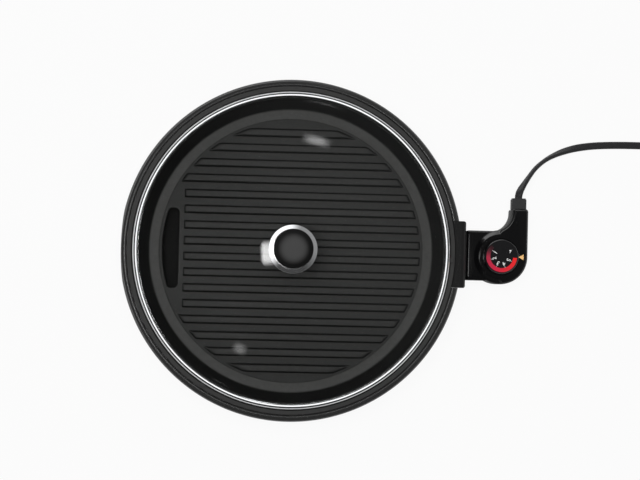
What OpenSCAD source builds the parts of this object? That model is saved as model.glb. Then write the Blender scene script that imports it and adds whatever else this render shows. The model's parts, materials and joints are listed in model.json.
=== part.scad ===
// Round electric indoor grill: cool-touch base with drip tray, cast ribbed plate,
// lift-off glass lid and plug-in temperature control with its flat cord.
// Millimetres, +Z up, standing on Z = 0. +X points to the temperature control, +Y to the back.
// The origin lies under the middle of the grill and its control, without the cord.

/* [Grill plate] */
// Outer diameter of the cast plate over its flange
plate_d = 341; // [335:1:347]
// Width of the flat flange that carries the lid
flange_w = 13; // [12:0.5:14]
// Thickness of the flange
flange_t = 4; // [3:0.5:5]
// Depth of the cooking floor under the flange top
pan_depth = 30; // [27:1:33]
// How far the pan wall leans in from its top to its foot
wall_lean = 8; // [6:0.5:10]
// Inside radius where the pan wall meets the floor
pan_fillet = 8; // [6:0.5:10]
// Thickness of the cooking floor
floor_t = 4.5; // [4:0.5:6]
// Thickness of the pan wall
wall_t = 3.5; // [3:0.5:4.5]
// Radius of the raised cooking area
cook_r = 138; // [137:0.5:139.5]
// Step from the cooking area down to the moat around it
moat_drop = 0.8; // [0.5:0.1:1.2]

/* [Cooking bars] */
// Number of cooking bars
bar_count = 16; // [12:2:18]
// Distance from one bar to the next
bar_pitch = 16.5; // [14:0.5:17]
// Width of a bar at its foot
bar_w = 8.4; // [7:0.2:10]
// Height of a bar
bar_h = 3.6; // [2.5:0.1:5]
// Radius of the circle that ends the bars
bar_field_r = 136; // [130:0.5:136.5]

/* [Drain slot] */
// Length of the drain slot
drain_l = 84; // [70:1:85]
// Width of the drain slot at its middle
drain_w = 17.5; // [12:0.5:18]
// Depth of the spout under the plate
spout_h = 3; // [2:0.5:4]

/* [Heating element] */
// Radius of the element's ring
element_ring_r = 100; // [90:1:101]
// Diameter of the element's tube
element_d = 6.6; // [6:0.1:7]
// Bend radius where the ring turns out to its terminals
element_bend_r = 12; // [9:0.5:15]
// Height of the cast ridge that holds the element
ridge_h = 5.5; // [5:0.5:6]
// Distance between the two terminal pins
pin_pitch = 25.4; // [22:0.2:27]
// Diameter of a terminal pin
pin_d = 4.8; // [4:0.1:5.4]

/* [Base] */
// Height of the base's underside over the table
base_lift = 12; // [9:0.5:14]
// Height of the base from its underside to its rim
base_h = 58.5; // [56:0.5:62]
// Width of the base's top rim around the plate
rim_w = 7; // [6:0.5:8]
// Radius of the rim's outer edge
rim_round = 5; // [3:0.5:5.5]
// Height of the rim band
rim_h = 12.5; // [11:0.5:14]
// Wall thickness of the base
base_t = 2.8; // [2.4:0.1:3.2]
// How far the base wall leans in from the rim to its foot
base_lean = 9.5; // [6:0.5:12]
// Step from the rim in to the wall
rim_step = 4.5; // [3:0.5:5]
// Depth of the seat for the plate's flange under the rim
seat_depth = 3; // [2:0.5:3.5]
// Radial gap between the plate and the rim
plate_gap = 0.5; // [0.3:0.1:1]
// Radius of the circle on which the legs stand
leg_ring_r = 132; // [122:1:136]
// Radius of a rubber foot
foot_r = 9; // [8:0.5:10]

/* [Drip tray] */
// Outside width of the drip tray
tray_w = 90; // [89:0.5:92]
// Plan radius of the tray's front
tray_front_r = 288; // [250:1:330]
// Wall thickness of the drip tray
tray_t = 1.8; // [1.4:0.1:2.2]
// Thickness of the tray's front
tray_front_t = 3.5; // [3:0.1:4]
// Gap between the tray and the base on each side
tray_gap = 0.4; // [0.3:0.1:0.8]
// How far the tray's front lies inside the full circle of the rim
tray_flat = 1.5; // [1:0.1:2]

/* [Guard] */
// Width of the guard panel
guard_w = 69.6; // [66:0.2:72]
// How far the guard's face stands out from the rim
guard_out = 4; // [3:0.5:6]
// Gap between the guard and its notch in the base
guard_gap = 0.35; // [0.3:0.05:0.8]
// Wall thickness of the guard
guard_t = 3; // [2.5:0.1:3.5]

/* [Lid] */
// Radial distance from the flange's edge to the lid's band
lid_inset = 6.5; // [6:0.1:7.5]
// Width of the steel band
band_w = 5.5; // [5:0.1:6]
// Height of the steel band
band_h = 8; // [7.5:0.5:10]
// Height of the dome over the band
dome_rise = 38; // [30:1:48]
// Thickness of the glass
glass_t = 4; // [3:0.5:4.5]

/* [Knob] */
// Diameter of the steel collar
collar_d = 49; // [46:1:54]
// Diameter of the black cap
cap_d = 39.5; // [36:0.5:42]
// Height of the cap over the collar
cap_h = 24; // [20:1:30]
// Diameter of the knob screw
knob_screw_d = 5; // [4:0.5:6]

/* [Temperature control] */
// Width of the control's neck
neck_w = 53; // [50:1:56]
// Gap between the guard's face and the control
neck_gap = 4; // [2:0.5:5]
// Distance from the guard's face to the dial's axis
dial_reach = 39.8; // [38:0.2:44]
// Sideways offset of the dial's axis from the neck
dial_offset = 0.8; // [0:0.1:1.5]
// Radius of the control's round head
head_r = 29.2; // [28:0.2:30.5]
// Width of the side arm
arm_w = 16.4; // [16:0.2:18]
// Length of the side arm from the neck's middle line
arm_l = 50.6; // [48:0.2:54]
// Wall thickness of the control's housing
shell_t = 2.2; // [1.8:0.1:2.6]
// Height of the housing under the sensor rod's axis
under_h = 15.5; // [14.5:0.5:17]
// Height of the neck over the sensor rod's axis
neck_h = 14.5; // [14:0.5:16]
// Height of the head over the neck
head_step = 4; // [3:0.5:5]
// Diameter of the sensor rod
rod_d = 6; // [5:0.2:6.4]
// Diameter of the dial
dial_d = 36.2; // [34:0.2:37]
// Height of the dial over the head
dial_h = 6.5; // [5:0.5:9]
// Diameter of the control shaft
shaft_d = 6; // [5:0.2:7]
// Running clearance around the control shaft
shaft_gap = 0.08; // [0.03:0.01:0.1]

/* [Cord and plug] */
// Width of the flat cord
cord_w = 8; // [6.4:0.2:8]
// Thickness of the flat cord
cord_t = 4.6; // [4:0.2:4.6]
// Width of the strain relief
relief_w = 15.6; // [14:0.2:16]
// Height of the strain relief
relief_h = 12; // [10:0.5:13]
// Length of the strain relief outside the arm
relief_l = 11.8; // [10:0.2:16]
// Length of the plug's body
plug_l = 36; // [32:1:42]
// Width of the plug's body
plug_w = 24; // [22:1:28]
// Height of the plug's body
plug_h = 17; // [15:1:20]
// Length of the plug's blades
blade_l = 17; // [16:0.5:18]
// Distance between the plug's blades
blade_pitch = 12.7; // [12:0.1:13.4]

/* [Hidden] */
$fn = 96;

// Gap around the heating element in its cast groove
groove_gap = 0.3;
// Gap between two pieces that are fixed together
fit_gap = 0.05;

// Radii around the grill's axis
plate_r = plate_d / 2;
pan_r = plate_r - flange_w;
pan_foot_r = pan_r - wall_lean;
seat_r = plate_r + plate_gap;
rim_r = seat_r + rim_w;
wall_top_r = rim_r - rim_step;
base_foot_r = wall_top_r - base_lean;
base_fillet = 10;
ledge_w = 6.5;
ledge_r = seat_r - ledge_w;

// Heights
floor_top_z = base_lift + base_t;
rim_z = base_lift + base_h;
rim_under_z = rim_z - rim_h;
ledge_z = rim_z - seat_depth;
flange_z = ledge_z + flange_t;
floor_z = flange_z - pan_depth;
floor_under_z = floor_z - floor_t;
axis_z = floor_under_z - ridge_h;
skirt_h = 6;

// Leans of the pan wall and of the base wall
pan_lean = atan(wall_lean / pan_depth);
shell_lean = atan(base_lean / (rim_under_z - base_lift));

// Drip tray
tray_face_x = -rim_r + tray_flat;
tray_half = tray_w / 2;
tray_inner_x = -element_ring_r - element_d / 2 - 7;
tray_top_z = floor_under_z - spout_h - 3;
tray_front_foot_z = base_lift + 1;
tray_cheek_l = 17;
scoop_r = 9;
scoop_out = 4;

// Reflector
post_h = 4.2;
post_r = 4.5;
reflector_t = 0.8;
reflector_r = 124;
post_ring_r = reflector_r - 16;
dish_r = 60;
dish_h = 1.5;
reflector_rim_z = axis_z - 6.5;
reflector_z = floor_top_z + post_h;

// Terminals and guard
bracket_t = 1.5;
bracket_w = 52;
guard_x = rim_r + guard_out;
tab_x = guard_x - 12;
bracket_x = tab_x - 21.5;
bracket_y = bracket_w / 2;
bracket_screw_x = bracket_x - 16.5;
bracket_screw_y = bracket_y - 3.7;
insulator_r = 5;
insulator_x = bracket_x - 2;
pin_root_x = bracket_x - 2.5;
pin_end_x = guard_x - 2;
sleeve_r = rod_d / 2 + 1.2;
rod_gap = 0.09;
sleeve_x1 = bracket_x - 8.5;
sleeve_x0 = sleeve_x1 - 24;
guard_foot_z = base_lift + 5.3;
guard_corner_r = 3;
nose_w = 45.6;
nose_h = 22.6;
nose_x = guard_x - 22;
nose_gap = 0.7;
tunnel_t = 2;
guard_boss_y = 29.2;
guard_boss_r = 2.6;

// Lid
band_r = plate_r - lid_inset;
band_in_r = band_r - band_w;
glass_edge_r = band_r - 2;
dome_foot_r = band_in_r - 1.5;
glass_z = flange_z + 2.6;
dome_r = (pow(dome_foot_r, 2) + pow(dome_rise, 2)) / (2 * dome_rise);
apex_z = glass_z + glass_t + dome_rise;
dome_centre_z = apex_z - dome_r;
gasket_t = 1.2;
gasket_r = 14;
collar_z = apex_z + gasket_t;
collar_h = 7;
cap_z = collar_z + collar_h;
insert_r = 5.5;
knob_hole_r = knob_screw_d / 2 + 1.2;

// Temperature control
neck_x = guard_x + neck_gap;
dial_x = guard_x + dial_reach;
dial_y = -dial_offset;
arm_x1 = dial_x + head_r;
arm_x0 = arm_x1 - arm_w;
elbow_r = 20;
elbow_x = arm_x0 - elbow_r;
elbow_y = neck_w / 2 + elbow_r;
house_z = axis_z - under_h;
neck_z = axis_z + neck_h;
head_z = neck_z + head_step;
edge_cut = 2.2;
dial_seat_r = dial_d / 2 + 1.2;
dial_seat_depth = 1.2;
dial_z = head_z - dial_seat_depth + 0.3;
dial_top_z = head_z + dial_h;
relief_neck_w = relief_w - 3;
relief_neck_h = relief_h - 3;
relief_x = (arm_x0 + arm_x1) / 2;

// The origin lies midway between the tray's face and the control's far side
grill_x = -(arm_x1 + tray_face_x) / 2;

// Centre line of the cord from the strain relief to the coil: each point's place, and how far the
// flat cord is turned there about its own line
CORD_ROUTE = [
    [205.6, 62.4, 31.5, 0], [205.6, 64.4, 31.5, 4], [206.6, 69, 31.3, 24], [209.2, 74.2, 30.4, 50],
    [212.9, 80, 28.8, 72], [218.4, 87.7, 25.6, 88], [223.9, 94.6, 21.6, 90], [229.2, 99.7, 17.6, 90],
    [235, 104.3, 13.6, 90], [242.5, 109.2, 9.6, 80], [251.5, 113.8, 6.4, 60], [262, 118, 4.2, 35],
    [275, 121.6, 2.9, 12], [292, 124.2, 2.3, 0], [312, 125.5, 2.3, 0], [334, 126, 2.3, 0],
    [358, 126, 2.3, 0], [381, 126, 2.3, 0], [404, 126, 2.3, 0]
];
// Centre line of the cord from the coil to the plug
TAIL_ROUTE = [
    [448, 82, 12.6, 0], [448, 66, 12.2, 0], [448, 50, 10.8, 0], [448, 34, 9.2, 0], [448, 20, 8.5, 0],
    [448, 18, 8.5, 0]
];
// The coil lies just beyond the end of the route
coil_x = 404;
coil_y = 82;
coil_r = 44;
coil_turns = 2.25;

// Points of an arc, from angle a0 to angle a1
function arc(cx, cy, r, a0, a1, n = 6) =
    [for (i = [0 : n]) let (a = a0 + (a1 - a0) * i / n) [cx + r * cos(a), cy + r * sin(a)]];

// Arc between a level floor at z0 and a wall that leans out and would meet the floor at r0
function foot_arc(r0, z0, r, lean) =
    arc(r0 - r * (1 - sin(lean)) / cos(lean), z0 + r, r, -90, -lean);

function reversed(list) = [for (i = [len(list) - 1 : -1 : 0]) list[i]];

// Radius of the pan wall's outside at a height
function wall_out_r(z) = pan_foot_r + (z - floor_z) * tan(pan_lean) + wall_t / cos(pan_lean);

// Height of the dome's outer and inner surfaces at a radius
function dome_z(r, inset = 0) = dome_centre_z + sqrt(pow(dome_r - inset, 2) - pow(r, 2));

module on_table() {
    translate([grill_x, 0, 0]) children();
}

module at_corners(r) {
    for (a = [45 : 90 : 315]) rotate([0, 0, a]) translate([r, 0, 0]) children();
}

module mirrored_y() {
    children();
    mirror([0, 1, 0]) children();
}

// A box given by its lowest and highest corners
module block(lo, hi) {
    translate(lo) cube(hi - lo);
}

// A cylinder along X or Y
module rod_x(x0, x1, r, y = 0, z = 0) {
    translate([x0, y, z]) rotate([0, 90, 0]) cylinder(h = x1 - x0, r = r);
}

module rod_y(y0, y1, r, x = 0, z = 0) {
    translate([x, y0, z]) rotate([-90, 0, 0]) cylinder(h = y1 - y0, r = r);
}

// A rectangle with round corners, centred
module round_rect(w, h, r) {
    square([w - 2 * r, h], center = true);
    square([w, h - 2 * r], center = true);
    for (x = [-1, 1]) for (y = [-1, 1]) translate([x * (w / 2 - r), y * (h / 2 - r)]) circle(r);
}

// The place of a route's point, without its turn
function place(p) = [p[0], p[1], p[2]];

// A section set across a route at its point i and turned there by the point's angle
function sweep_ring(route, section, i) =
    let (
        a = place(route[max(i - 1, 0)]),
        b = place(route[min(i + 1, len(route) - 1)]),
        along = (b - a) / norm(b - a),
        level = cross(along, [0, 0, 1]) / norm(cross(along, [0, 0, 1])),
        upright = cross(level, along),
        turn = route[i][3],
        across = level * cos(turn) + upright * sin(turn),
        up = upright * cos(turn) - level * sin(turn)
    )
    [for (p = section) place(route[i]) + across * p[0] + up * p[1]];

module sweep(route, section) {
    n = len(route);
    m = len(section);
    sides = [for (i = [0 : n - 2]) for (k = [0 : m - 1])
        let (a = i * m + k, b = i * m + (k + 1) % m) each [[a, b, b + m], [a, b + m, a + m]]];
    first = [for (k = [m - 1 : -1 : 0]) k];
    last = [for (k = [0 : m - 1]) (n - 1) * m + k];
    polyhedron([for (i = [0 : n - 1]) each sweep_ring(route, section, i)], concat(sides, [first, last]));
}

// ---- Base ----

base_outer = concat(
    [[0, base_lift]],
    foot_arc(base_foot_r, base_lift, base_fillet, shell_lean),
    [[wall_top_r, rim_under_z], [rim_r - 1.5, rim_under_z], [rim_r, rim_under_z + 1.5]],
    arc(rim_r - rim_round, rim_z - rim_round, rim_round, 0, 90),
    [[seat_r + 0.6, rim_z], [seat_r, rim_z - 0.6], [seat_r, ledge_z], [ledge_r, ledge_z]]
);

base_inner = concat(
    [[0, floor_top_z]],
    foot_arc(base_foot_r + base_t * tan(shell_lean) - base_t / cos(shell_lean),
             floor_top_z, base_fillet - base_t, shell_lean),
    [[wall_top_r - base_t, rim_under_z], [wall_top_r - base_t, ledge_z - base_t]],
    [[ledge_r + base_t, ledge_z - base_t], [ledge_r + base_t, ledge_z - skirt_h]],
    [[ledge_r, ledge_z - skirt_h]]
);

module leg() {
    translate([0, 0, 4]) cylinder(h = base_lift - 4 + base_t / 2, r1 = foot_r + 2.5, r2 = foot_r + 5);
}

module leg_recess() {
    translate([0, 0, -1]) cylinder(h = 7, r = foot_r + 0.2);
    cylinder(h = base_lift, r = 2.6);
}

module vent_slot(l) {
    translate([0, 0, base_lift - 1]) linear_extrude(base_t + 2) round_rect(l, 6, 2.9);
}

module base_vents() {
    for (a = [15 : 30 : 345]) rotate([0, 0, a]) translate([76, 0, 0]) vent_slot(28);
    for (a = [30 : 60 : 330]) rotate([0, 0, a]) translate([38, 0, 0]) vent_slot(22);
}

module reflector_post() {
    translate([0, 0, floor_top_z - 0.5]) cylinder(h = post_h + 0.5, r = post_r);
}

module tray_rails() {
    mirrored_y() block([-150, tray_half + tray_gap, floor_top_z - 0.5],
                       [tray_inner_x + 6, tray_half + tray_gap + 2.4, floor_top_z + 7]);
    block([tray_inner_x + 1, -tray_half, floor_top_z - 0.5], [tray_inner_x + 3.4, tray_half, floor_top_z + 5]);
}

// What lies outside the plan curve of the tray's front
module beyond_tray_curve() {
    difference() {
        block([-rim_r - 5, -tray_half - 5, 0], [-rim_r + 20, tray_half + 5, rim_z + 5]);
        translate([tray_face_x + tray_front_r, 0, -1]) cylinder(h = rim_z + 10, r = tray_front_r, $fn = 240);
    }
}

module base_shell() {
    color([0.16, 0.16, 0.17]) on_table() difference() {
        union() {
            rotate_extrude() polygon(concat(base_outer, reversed(base_inner)));
            at_corners(leg_ring_r) leg();
            at_corners(post_ring_r) reflector_post();
            tray_rails();
        }
        at_corners(leg_ring_r) leg_recess();
        at_corners(post_ring_r) translate([0, 0, floor_top_z]) cylinder(h = post_h + 1, r = 1.5);
        base_vents();
        beyond_tray_curve();
        block([-rim_r - 5, -tray_half - tray_gap, floor_top_z],
              [-140, tray_half + tray_gap, rim_under_z]);
        block([145, -guard_w / 2 - guard_gap, guard_foot_z - guard_gap],
              [rim_r + 5, guard_w / 2 + guard_gap, rim_z + 5]);
    }
}

module rubber_feet() {
    color([0.1, 0.1, 0.1]) on_table() at_corners(leg_ring_r) {
        difference() {
            cylinder(h = 6, r = foot_r);
            translate([0, 0, 3]) difference() {
                cylinder(h = 4, r = foot_r - 2.5);
                translate([0, 0, -1]) cylinder(h = 6, r = 4.5);
            }
        }
        translate([0, 0, 5.5]) cylinder(h = base_lift - 6, r = 2.5);
    }
}

reflector_profile = concat(
    [[0, reflector_z + dish_h], [dish_r - 4, reflector_z + dish_h]],
    [[dish_r, reflector_z], [reflector_r - 4, reflector_z]],
    [[reflector_r, reflector_rim_z - 1], [reflector_r + 3, reflector_rim_z]],
    [[reflector_r + 3, reflector_rim_z + reflector_t], [reflector_r - 0.5, reflector_rim_z + reflector_t - 1]],
    [[reflector_r - 4.5, reflector_z + reflector_t], [dish_r + 0.4, reflector_z + reflector_t]],
    [[dish_r - 3.6, reflector_z + dish_h + reflector_t], [0, reflector_z + dish_h + reflector_t]]
);

module heat_reflector() {
    color([0.75, 0.76, 0.77]) on_table() difference() {
        rotate_extrude() polygon(reflector_profile);
        at_corners(post_ring_r) translate([0, 0, reflector_z - 1]) cylinder(h = 3, r = 1.8);
        block([-reflector_r - 10, -tray_half - tray_gap - 4, reflector_z - 1],
              [tray_inner_x + 8, tray_half + tray_gap + 4, reflector_rim_z + 5]);
    }
}

module reflector_screws() {
    color("silver") on_table() at_corners(post_ring_r) {
        translate([0, 0, reflector_z + reflector_t]) cylinder(h = 1.8, r1 = 3.2, r2 = 2.4);
        translate([0, 0, floor_top_z]) cylinder(h = post_h + reflector_t + 0.5, r = 1.45);
    }
}

// ---- Drip tray ----

module drip_tray() {
    color([0.13, 0.13, 0.14]) on_table() difference() {
        union() {
            block([tray_face_x + 4, -tray_half, floor_top_z], [tray_inner_x, tray_half, tray_top_z]);
            block([-rim_r - 2, -tray_half, tray_front_foot_z],
                  [tray_face_x + tray_front_t + 1, tray_half, rim_under_z - 0.4]);
            block([tray_face_x + 2, -tray_half, floor_top_z],
                  [tray_face_x + tray_cheek_l, tray_half, rim_under_z - 0.4]);
        }
        beyond_tray_curve();
        block([tray_face_x + tray_front_t + 1, -tray_half + tray_t, floor_top_z + tray_t],
              [tray_inner_x - tray_t, tray_half - tray_t, rim_z]);
        rod_y(-22, 22, scoop_r, tray_face_x - scoop_out, 36);
    }
    color([0.13, 0.13, 0.14]) on_table() difference() {
        intersection() {
            rod_y(-22 - tray_t, 22 + tray_t, scoop_r + tray_t, tray_face_x - scoop_out, 36);
            block([tray_face_x + tray_front_t + 1, -30, 0], [-140, 30, 60]);
        }
        rod_y(-22, 22, scoop_r, tray_face_x - scoop_out, 36);
    }
}

// ---- Grill plate ----

plate_top_edge = arc(pan_r + 2 * (1 - sin(pan_lean)) / cos(pan_lean), flange_z - 2, 2, 180 - pan_lean, 90, 4);

plate_profile = concat(
    [[0, floor_z], [cook_r, floor_z], [cook_r + 1.2, floor_z - moat_drop]],
    foot_arc(pan_foot_r - moat_drop * tan(pan_lean), floor_z - moat_drop, pan_fillet, pan_lean),
    plate_top_edge,
    [[plate_r - 1, flange_z], [plate_r, flange_z - 1], [plate_r, ledge_z], [wall_out_r(ledge_z), ledge_z]],
    reversed(foot_arc(wall_out_r(floor_under_z), floor_under_z, pan_fillet + wall_t, pan_lean)),
    [[0, floor_under_z]]
);

// Where the bars stop beside the drain slot
bar_end_x = -cook_r + 2.5 + drain_w + 5;

bar_section = [
    [-bar_w / 2, -0.5], [bar_w / 2, -0.5], [bar_w / 2, 0], [bar_w / 2 - 0.9, bar_h - 0.6],
    [bar_w / 2 - 1.5, bar_h], [-bar_w / 2 + 1.5, bar_h], [-bar_w / 2 + 0.9, bar_h - 0.6], [-bar_w / 2, 0]
];

module cooking_bars() {
    intersection() {
        union() {
            for (i = [0 : bar_count - 1]) {
                y = (i - (bar_count - 1) / 2) * bar_pitch;
                x0 = abs(y) < drain_l / 2 + 20 ? bar_end_x : -bar_field_r - 5;
                translate([x0, y, floor_z]) rotate([90, 0, 90])
                    linear_extrude(bar_field_r + 5 - x0) polygon(bar_section);
            }
        }
        translate([0, 0, floor_z - 1]) cylinder(h = bar_h + 2, r1 = bar_field_r + 0.5, r2 = bar_field_r - 0.8);
    }
}

// The drain slot's outline, grown by a margin
module drain_shape(margin) {
    intersection() {
        circle(cook_r - 2.5 + margin);
        translate([-cook_r + 2.5 + drain_w - 40 + margin, 0])
            round_rect(80, drain_l + 2 * margin, 5 + margin);
    }
}

// Where the element's ring ends and its bends turn out to the legs
element_turn = asin((pin_pitch / 2 + element_bend_r) / (element_ring_r + element_bend_r));
element_bend_x = (element_ring_r + element_bend_r) * cos(element_turn);
ridge_half = 6;
ridge_end_x = bracket_x - 10.5;
groove_r = element_d / 2 + groove_gap;

// Pocket in the ridge around each bend: its lowest and highest corners
bend_pocket = [
    [element_ring_r * cos(element_turn) - groove_r - 1.1, pin_pitch / 2 - groove_r - 0.6, axis_z - 1],
    [element_bend_x + 1.8, element_ring_r * sin(element_turn) + groove_r + 0.4, axis_z + groove_r]
];

module element_ridge() {
    top_z = floor_under_z + 0.5;
    translate([0, 0, axis_z]) rotate_extrude()
        translate([element_ring_r - ridge_half, 0]) square([2 * ridge_half, top_z - axis_z]);
    mirrored_y() block([element_bend_x, pin_pitch / 2 - ridge_half, axis_z],
                       [ridge_end_x, pin_pitch / 2 + ridge_half, top_z]);
    block([bend_pocket[0][0] - 3, -bend_pocket[1][1] - 3, axis_z],
          [bend_pocket[1][0] + 3, bend_pocket[1][1] + 3, top_z]);
}

module element_groove() {
    end_turn = element_turn + 1.3;
    translate([0, 0, axis_z]) rotate([0, 0, end_turn]) rotate_extrude(angle = 360 - 2 * end_turn)
        translate([element_ring_r, 0]) circle(groove_r, $fn = 48);
    mirrored_y() {
        rod_x(element_bend_x, ridge_end_x + 1, groove_r, pin_pitch / 2, axis_z);
        block(bend_pocket[0], bend_pocket[1]);
    }
}

module lid_locator() {
    block([band_r + 0.6, -3, flange_z - 0.5], [plate_r - 1.6, 3, flange_z + 1.4]);
}

module grill_plate() {
    color([0.2, 0.2, 0.21]) on_table() difference() {
        union() {
            rotate_extrude() polygon(plate_profile);
            cooking_bars();
            for (a = [118, 238, 358]) rotate([0, 0, a]) lid_locator();
            translate([0, 0, floor_under_z - spout_h]) linear_extrude(spout_h + 0.5) drain_shape(2.2);
            element_ridge();
            block([sleeve_x0, -6, axis_z], [sleeve_x1, 6, floor_under_z + 0.5]);
            mirrored_y() translate([bracket_screw_x, bracket_screw_y, floor_under_z - 1.2]) cylinder(h = 2, r = 4);
        }
        translate([0, 0, floor_under_z - spout_h - 1]) linear_extrude(spout_h + floor_t + 2) drain_shape(0);
        element_groove();
        rod_x(sleeve_x0 - 1, sleeve_x1 + 1, sleeve_r + 0.1, 0, axis_z);
        mirrored_y() translate([bracket_screw_x, bracket_screw_y, floor_under_z - 2]) cylinder(h = 5, r = 1.6);
    }
}

// Centre line of the element: one leg, its bend, the ring, and back along the other leg
element_end_x = pin_root_x;
element_leg = concat(
    [[element_end_x, pin_pitch / 2]],
    arc(element_bend_x, pin_pitch / 2 + element_bend_r, element_bend_r, 270, 180 + element_turn)
);
element_line = concat(
    element_leg,
    arc(0, 0, element_ring_r, element_turn + 4, 356 - element_turn, 82),
    [for (p = reversed(element_leg)) [p[0], -p[1]]]
);

module heating_element() {
    color([0.55, 0.55, 0.56]) on_table() sweep(
        [for (p = element_line) [p[0], p[1], axis_z, 0]],
        arc(0, 0, element_d / 2, 0, 330, 11)
    );
}

module terminal_pins() {
    color([0.8, 0.8, 0.82]) on_table() mirrored_y() {
        rod_x(pin_root_x, pin_end_x - 1, pin_d / 2, pin_pitch / 2, axis_z);
        translate([pin_end_x - 1, pin_pitch / 2, axis_z]) rotate([0, 90, 0])
            cylinder(h = 1, r1 = pin_d / 2, r2 = pin_d / 2 - 1);
    }
}

module pin_insulators() {
    color([0.92, 0.91, 0.87]) on_table() mirrored_y() difference() {
        union() {
            rod_x(insulator_x, insulator_x + 7.5, insulator_r, pin_pitch / 2, axis_z);
            rod_x(bracket_x + bracket_t, bracket_x + bracket_t + 2.5, insulator_r + 1.2, pin_pitch / 2, axis_z);
        }
        rod_x(insulator_x - 1, insulator_x + 9, pin_d / 2 + 0.05, pin_pitch / 2, axis_z);
    }
}

module terminal_bracket() {
    bracket_top_z = floor_under_z - 1.2;
    color([0.72, 0.73, 0.74]) on_table() difference() {
        union() {
            block([bracket_x - 22.5, -bracket_y, bracket_top_z - bracket_t],
                  [bracket_x + bracket_t, bracket_y, bracket_top_z]);
            block([bracket_x, -bracket_y, axis_z - 9], [bracket_x + bracket_t, bracket_y, bracket_top_z]);
            mirrored_y() {
                block([bracket_x, bracket_y - bracket_t, axis_z - 5], [tab_x, bracket_y, axis_z + 4]);
                block([tab_x - bracket_t, bracket_y - bracket_t, axis_z - 5], [tab_x, bracket_y + 5.4, axis_z + 4]);
            }
        }
        block([bracket_x - 23.5, -7, axis_z], [bracket_x - 3.5, 7, floor_z]);
        mirrored_y() {
            block([bracket_x - 23.5, pin_pitch / 2 - 6.6, axis_z],
                  [bracket_x - bracket_t, pin_pitch / 2 + 6.6, floor_z]);
            rod_x(bracket_x - 5, bracket_x + 5, insulator_r + 0.05, pin_pitch / 2, axis_z);
            translate([bracket_screw_x, bracket_screw_y, bracket_top_z - 3]) cylinder(h = 5, r = 1.8);
            rod_x(tab_x - 5, tab_x + 5, 1.6, guard_boss_y, axis_z - 0.5);
        }
        rod_x(bracket_x - 5, bracket_x + 5, rod_d / 2 + 0.8, 0, axis_z);
    }
}

module bracket_screws() {
    color("silver") on_table() mirrored_y() translate([bracket_screw_x, bracket_screw_y, 0]) {
        translate([0, 0, floor_under_z - 1.2 - bracket_t - 1.8]) cylinder(h = 1.8, r1 = 2.6, r2 = 3);
        translate([0, 0, floor_under_z - 1.2 - bracket_t - 0.5]) cylinder(h = 5, r = 1.55);
    }
}

module sensor_sleeve() {
    color([0.8, 0.8, 0.82]) on_table() difference() {
        rod_x(sleeve_x0, sleeve_x1, sleeve_r, 0, axis_z);
        rod_x(sleeve_x0 + 1, sleeve_x1 + 1, rod_d / 2 + rod_gap, 0, axis_z);
    }
}

guard_side = concat(
    [[150, guard_foot_z], [guard_x - 1.5, guard_foot_z], [guard_x, guard_foot_z + 1.5]],
    arc(guard_x - rim_round, rim_z - rim_round, rim_round, 0, 90),
    [[150, rim_z]]
);

module guard_plan() {
    translate([guard_x - 20, 0]) square([40 - 2 * guard_corner_r, guard_w], center = true);
    translate([guard_x - 20, 0]) square([40, guard_w - 2 * guard_corner_r], center = true);
    for (y = [-1, 1])
        translate([guard_x - guard_corner_r, y * (guard_w / 2 - guard_corner_r)]) circle(guard_corner_r);
}

module guard_shell() {
    difference() {
        intersection() {
            translate([0, 0, guard_foot_z]) linear_extrude(rim_z - guard_foot_z) guard_plan();
            translate([0, guard_w / 2, 0]) rotate([90, 0, 0]) linear_extrude(guard_w) polygon(guard_side);
        }
        translate([0, 0, ledge_z - 0.3]) cylinder(h = 20, r = seat_r);
        block([100, -guard_w, 0], [ledge_r + 1.5, guard_w, rim_z + 5]);
        block([150, -guard_w / 2 + guard_t, guard_foot_z + guard_t],
              [guard_x - guard_t, guard_w / 2 - guard_t, ledge_z - guard_t]);
    }
}

module nose_opening(margin, x0, x1) {
    translate([x0, 0, axis_z]) rotate([90, 0, 90]) linear_extrude(x1 - x0)
        round_rect(nose_w + 2 * margin, nose_h + 2 * margin, 3 + margin);
}

module socket_guard() {
    color([0.15, 0.15, 0.16]) on_table() difference() {
        union() {
            guard_shell();
            nose_opening(nose_gap + tunnel_t, tab_x + 1, guard_x - 1);
            mirrored_y() rod_x(tab_x, guard_x - 1, guard_boss_r, guard_boss_y, axis_z - 0.5);
        }
        nose_opening(nose_gap, 150, guard_x + 5);
        mirrored_y() rod_x(tab_x - 1, tab_x + 7, 1.3, guard_boss_y, axis_z - 0.5);
    }
}

module guard_screws() {
    color("silver") on_table() mirrored_y() {
        rod_x(tab_x - bracket_t - 1.6, tab_x - bracket_t, 2.4, guard_boss_y, axis_z - 0.5);
        rod_x(tab_x - bracket_t - 0.5, tab_x + 6, 1.25, guard_boss_y, axis_z - 0.5);
    }
}

// ---- Lid ----

dome_steps = 24;
dome_outer = [for (i = [0 : dome_steps])
    let (r = knob_hole_r + (dome_foot_r - knob_hole_r) * i / dome_steps) [r, dome_z(r)]];
dome_inner = [for (i = [0 : dome_steps])
    let (r = knob_hole_r + (dome_foot_r - 2 - knob_hole_r) * i / dome_steps) [r, dome_z(r, glass_t)]];

module lid_glass() {
    color([0.8, 0.88, 0.88, 0.3]) on_table() rotate_extrude() polygon(concat(
        dome_outer, [[glass_edge_r, glass_z + glass_t], [glass_edge_r, glass_z]], reversed(dome_inner)));
}

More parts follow.
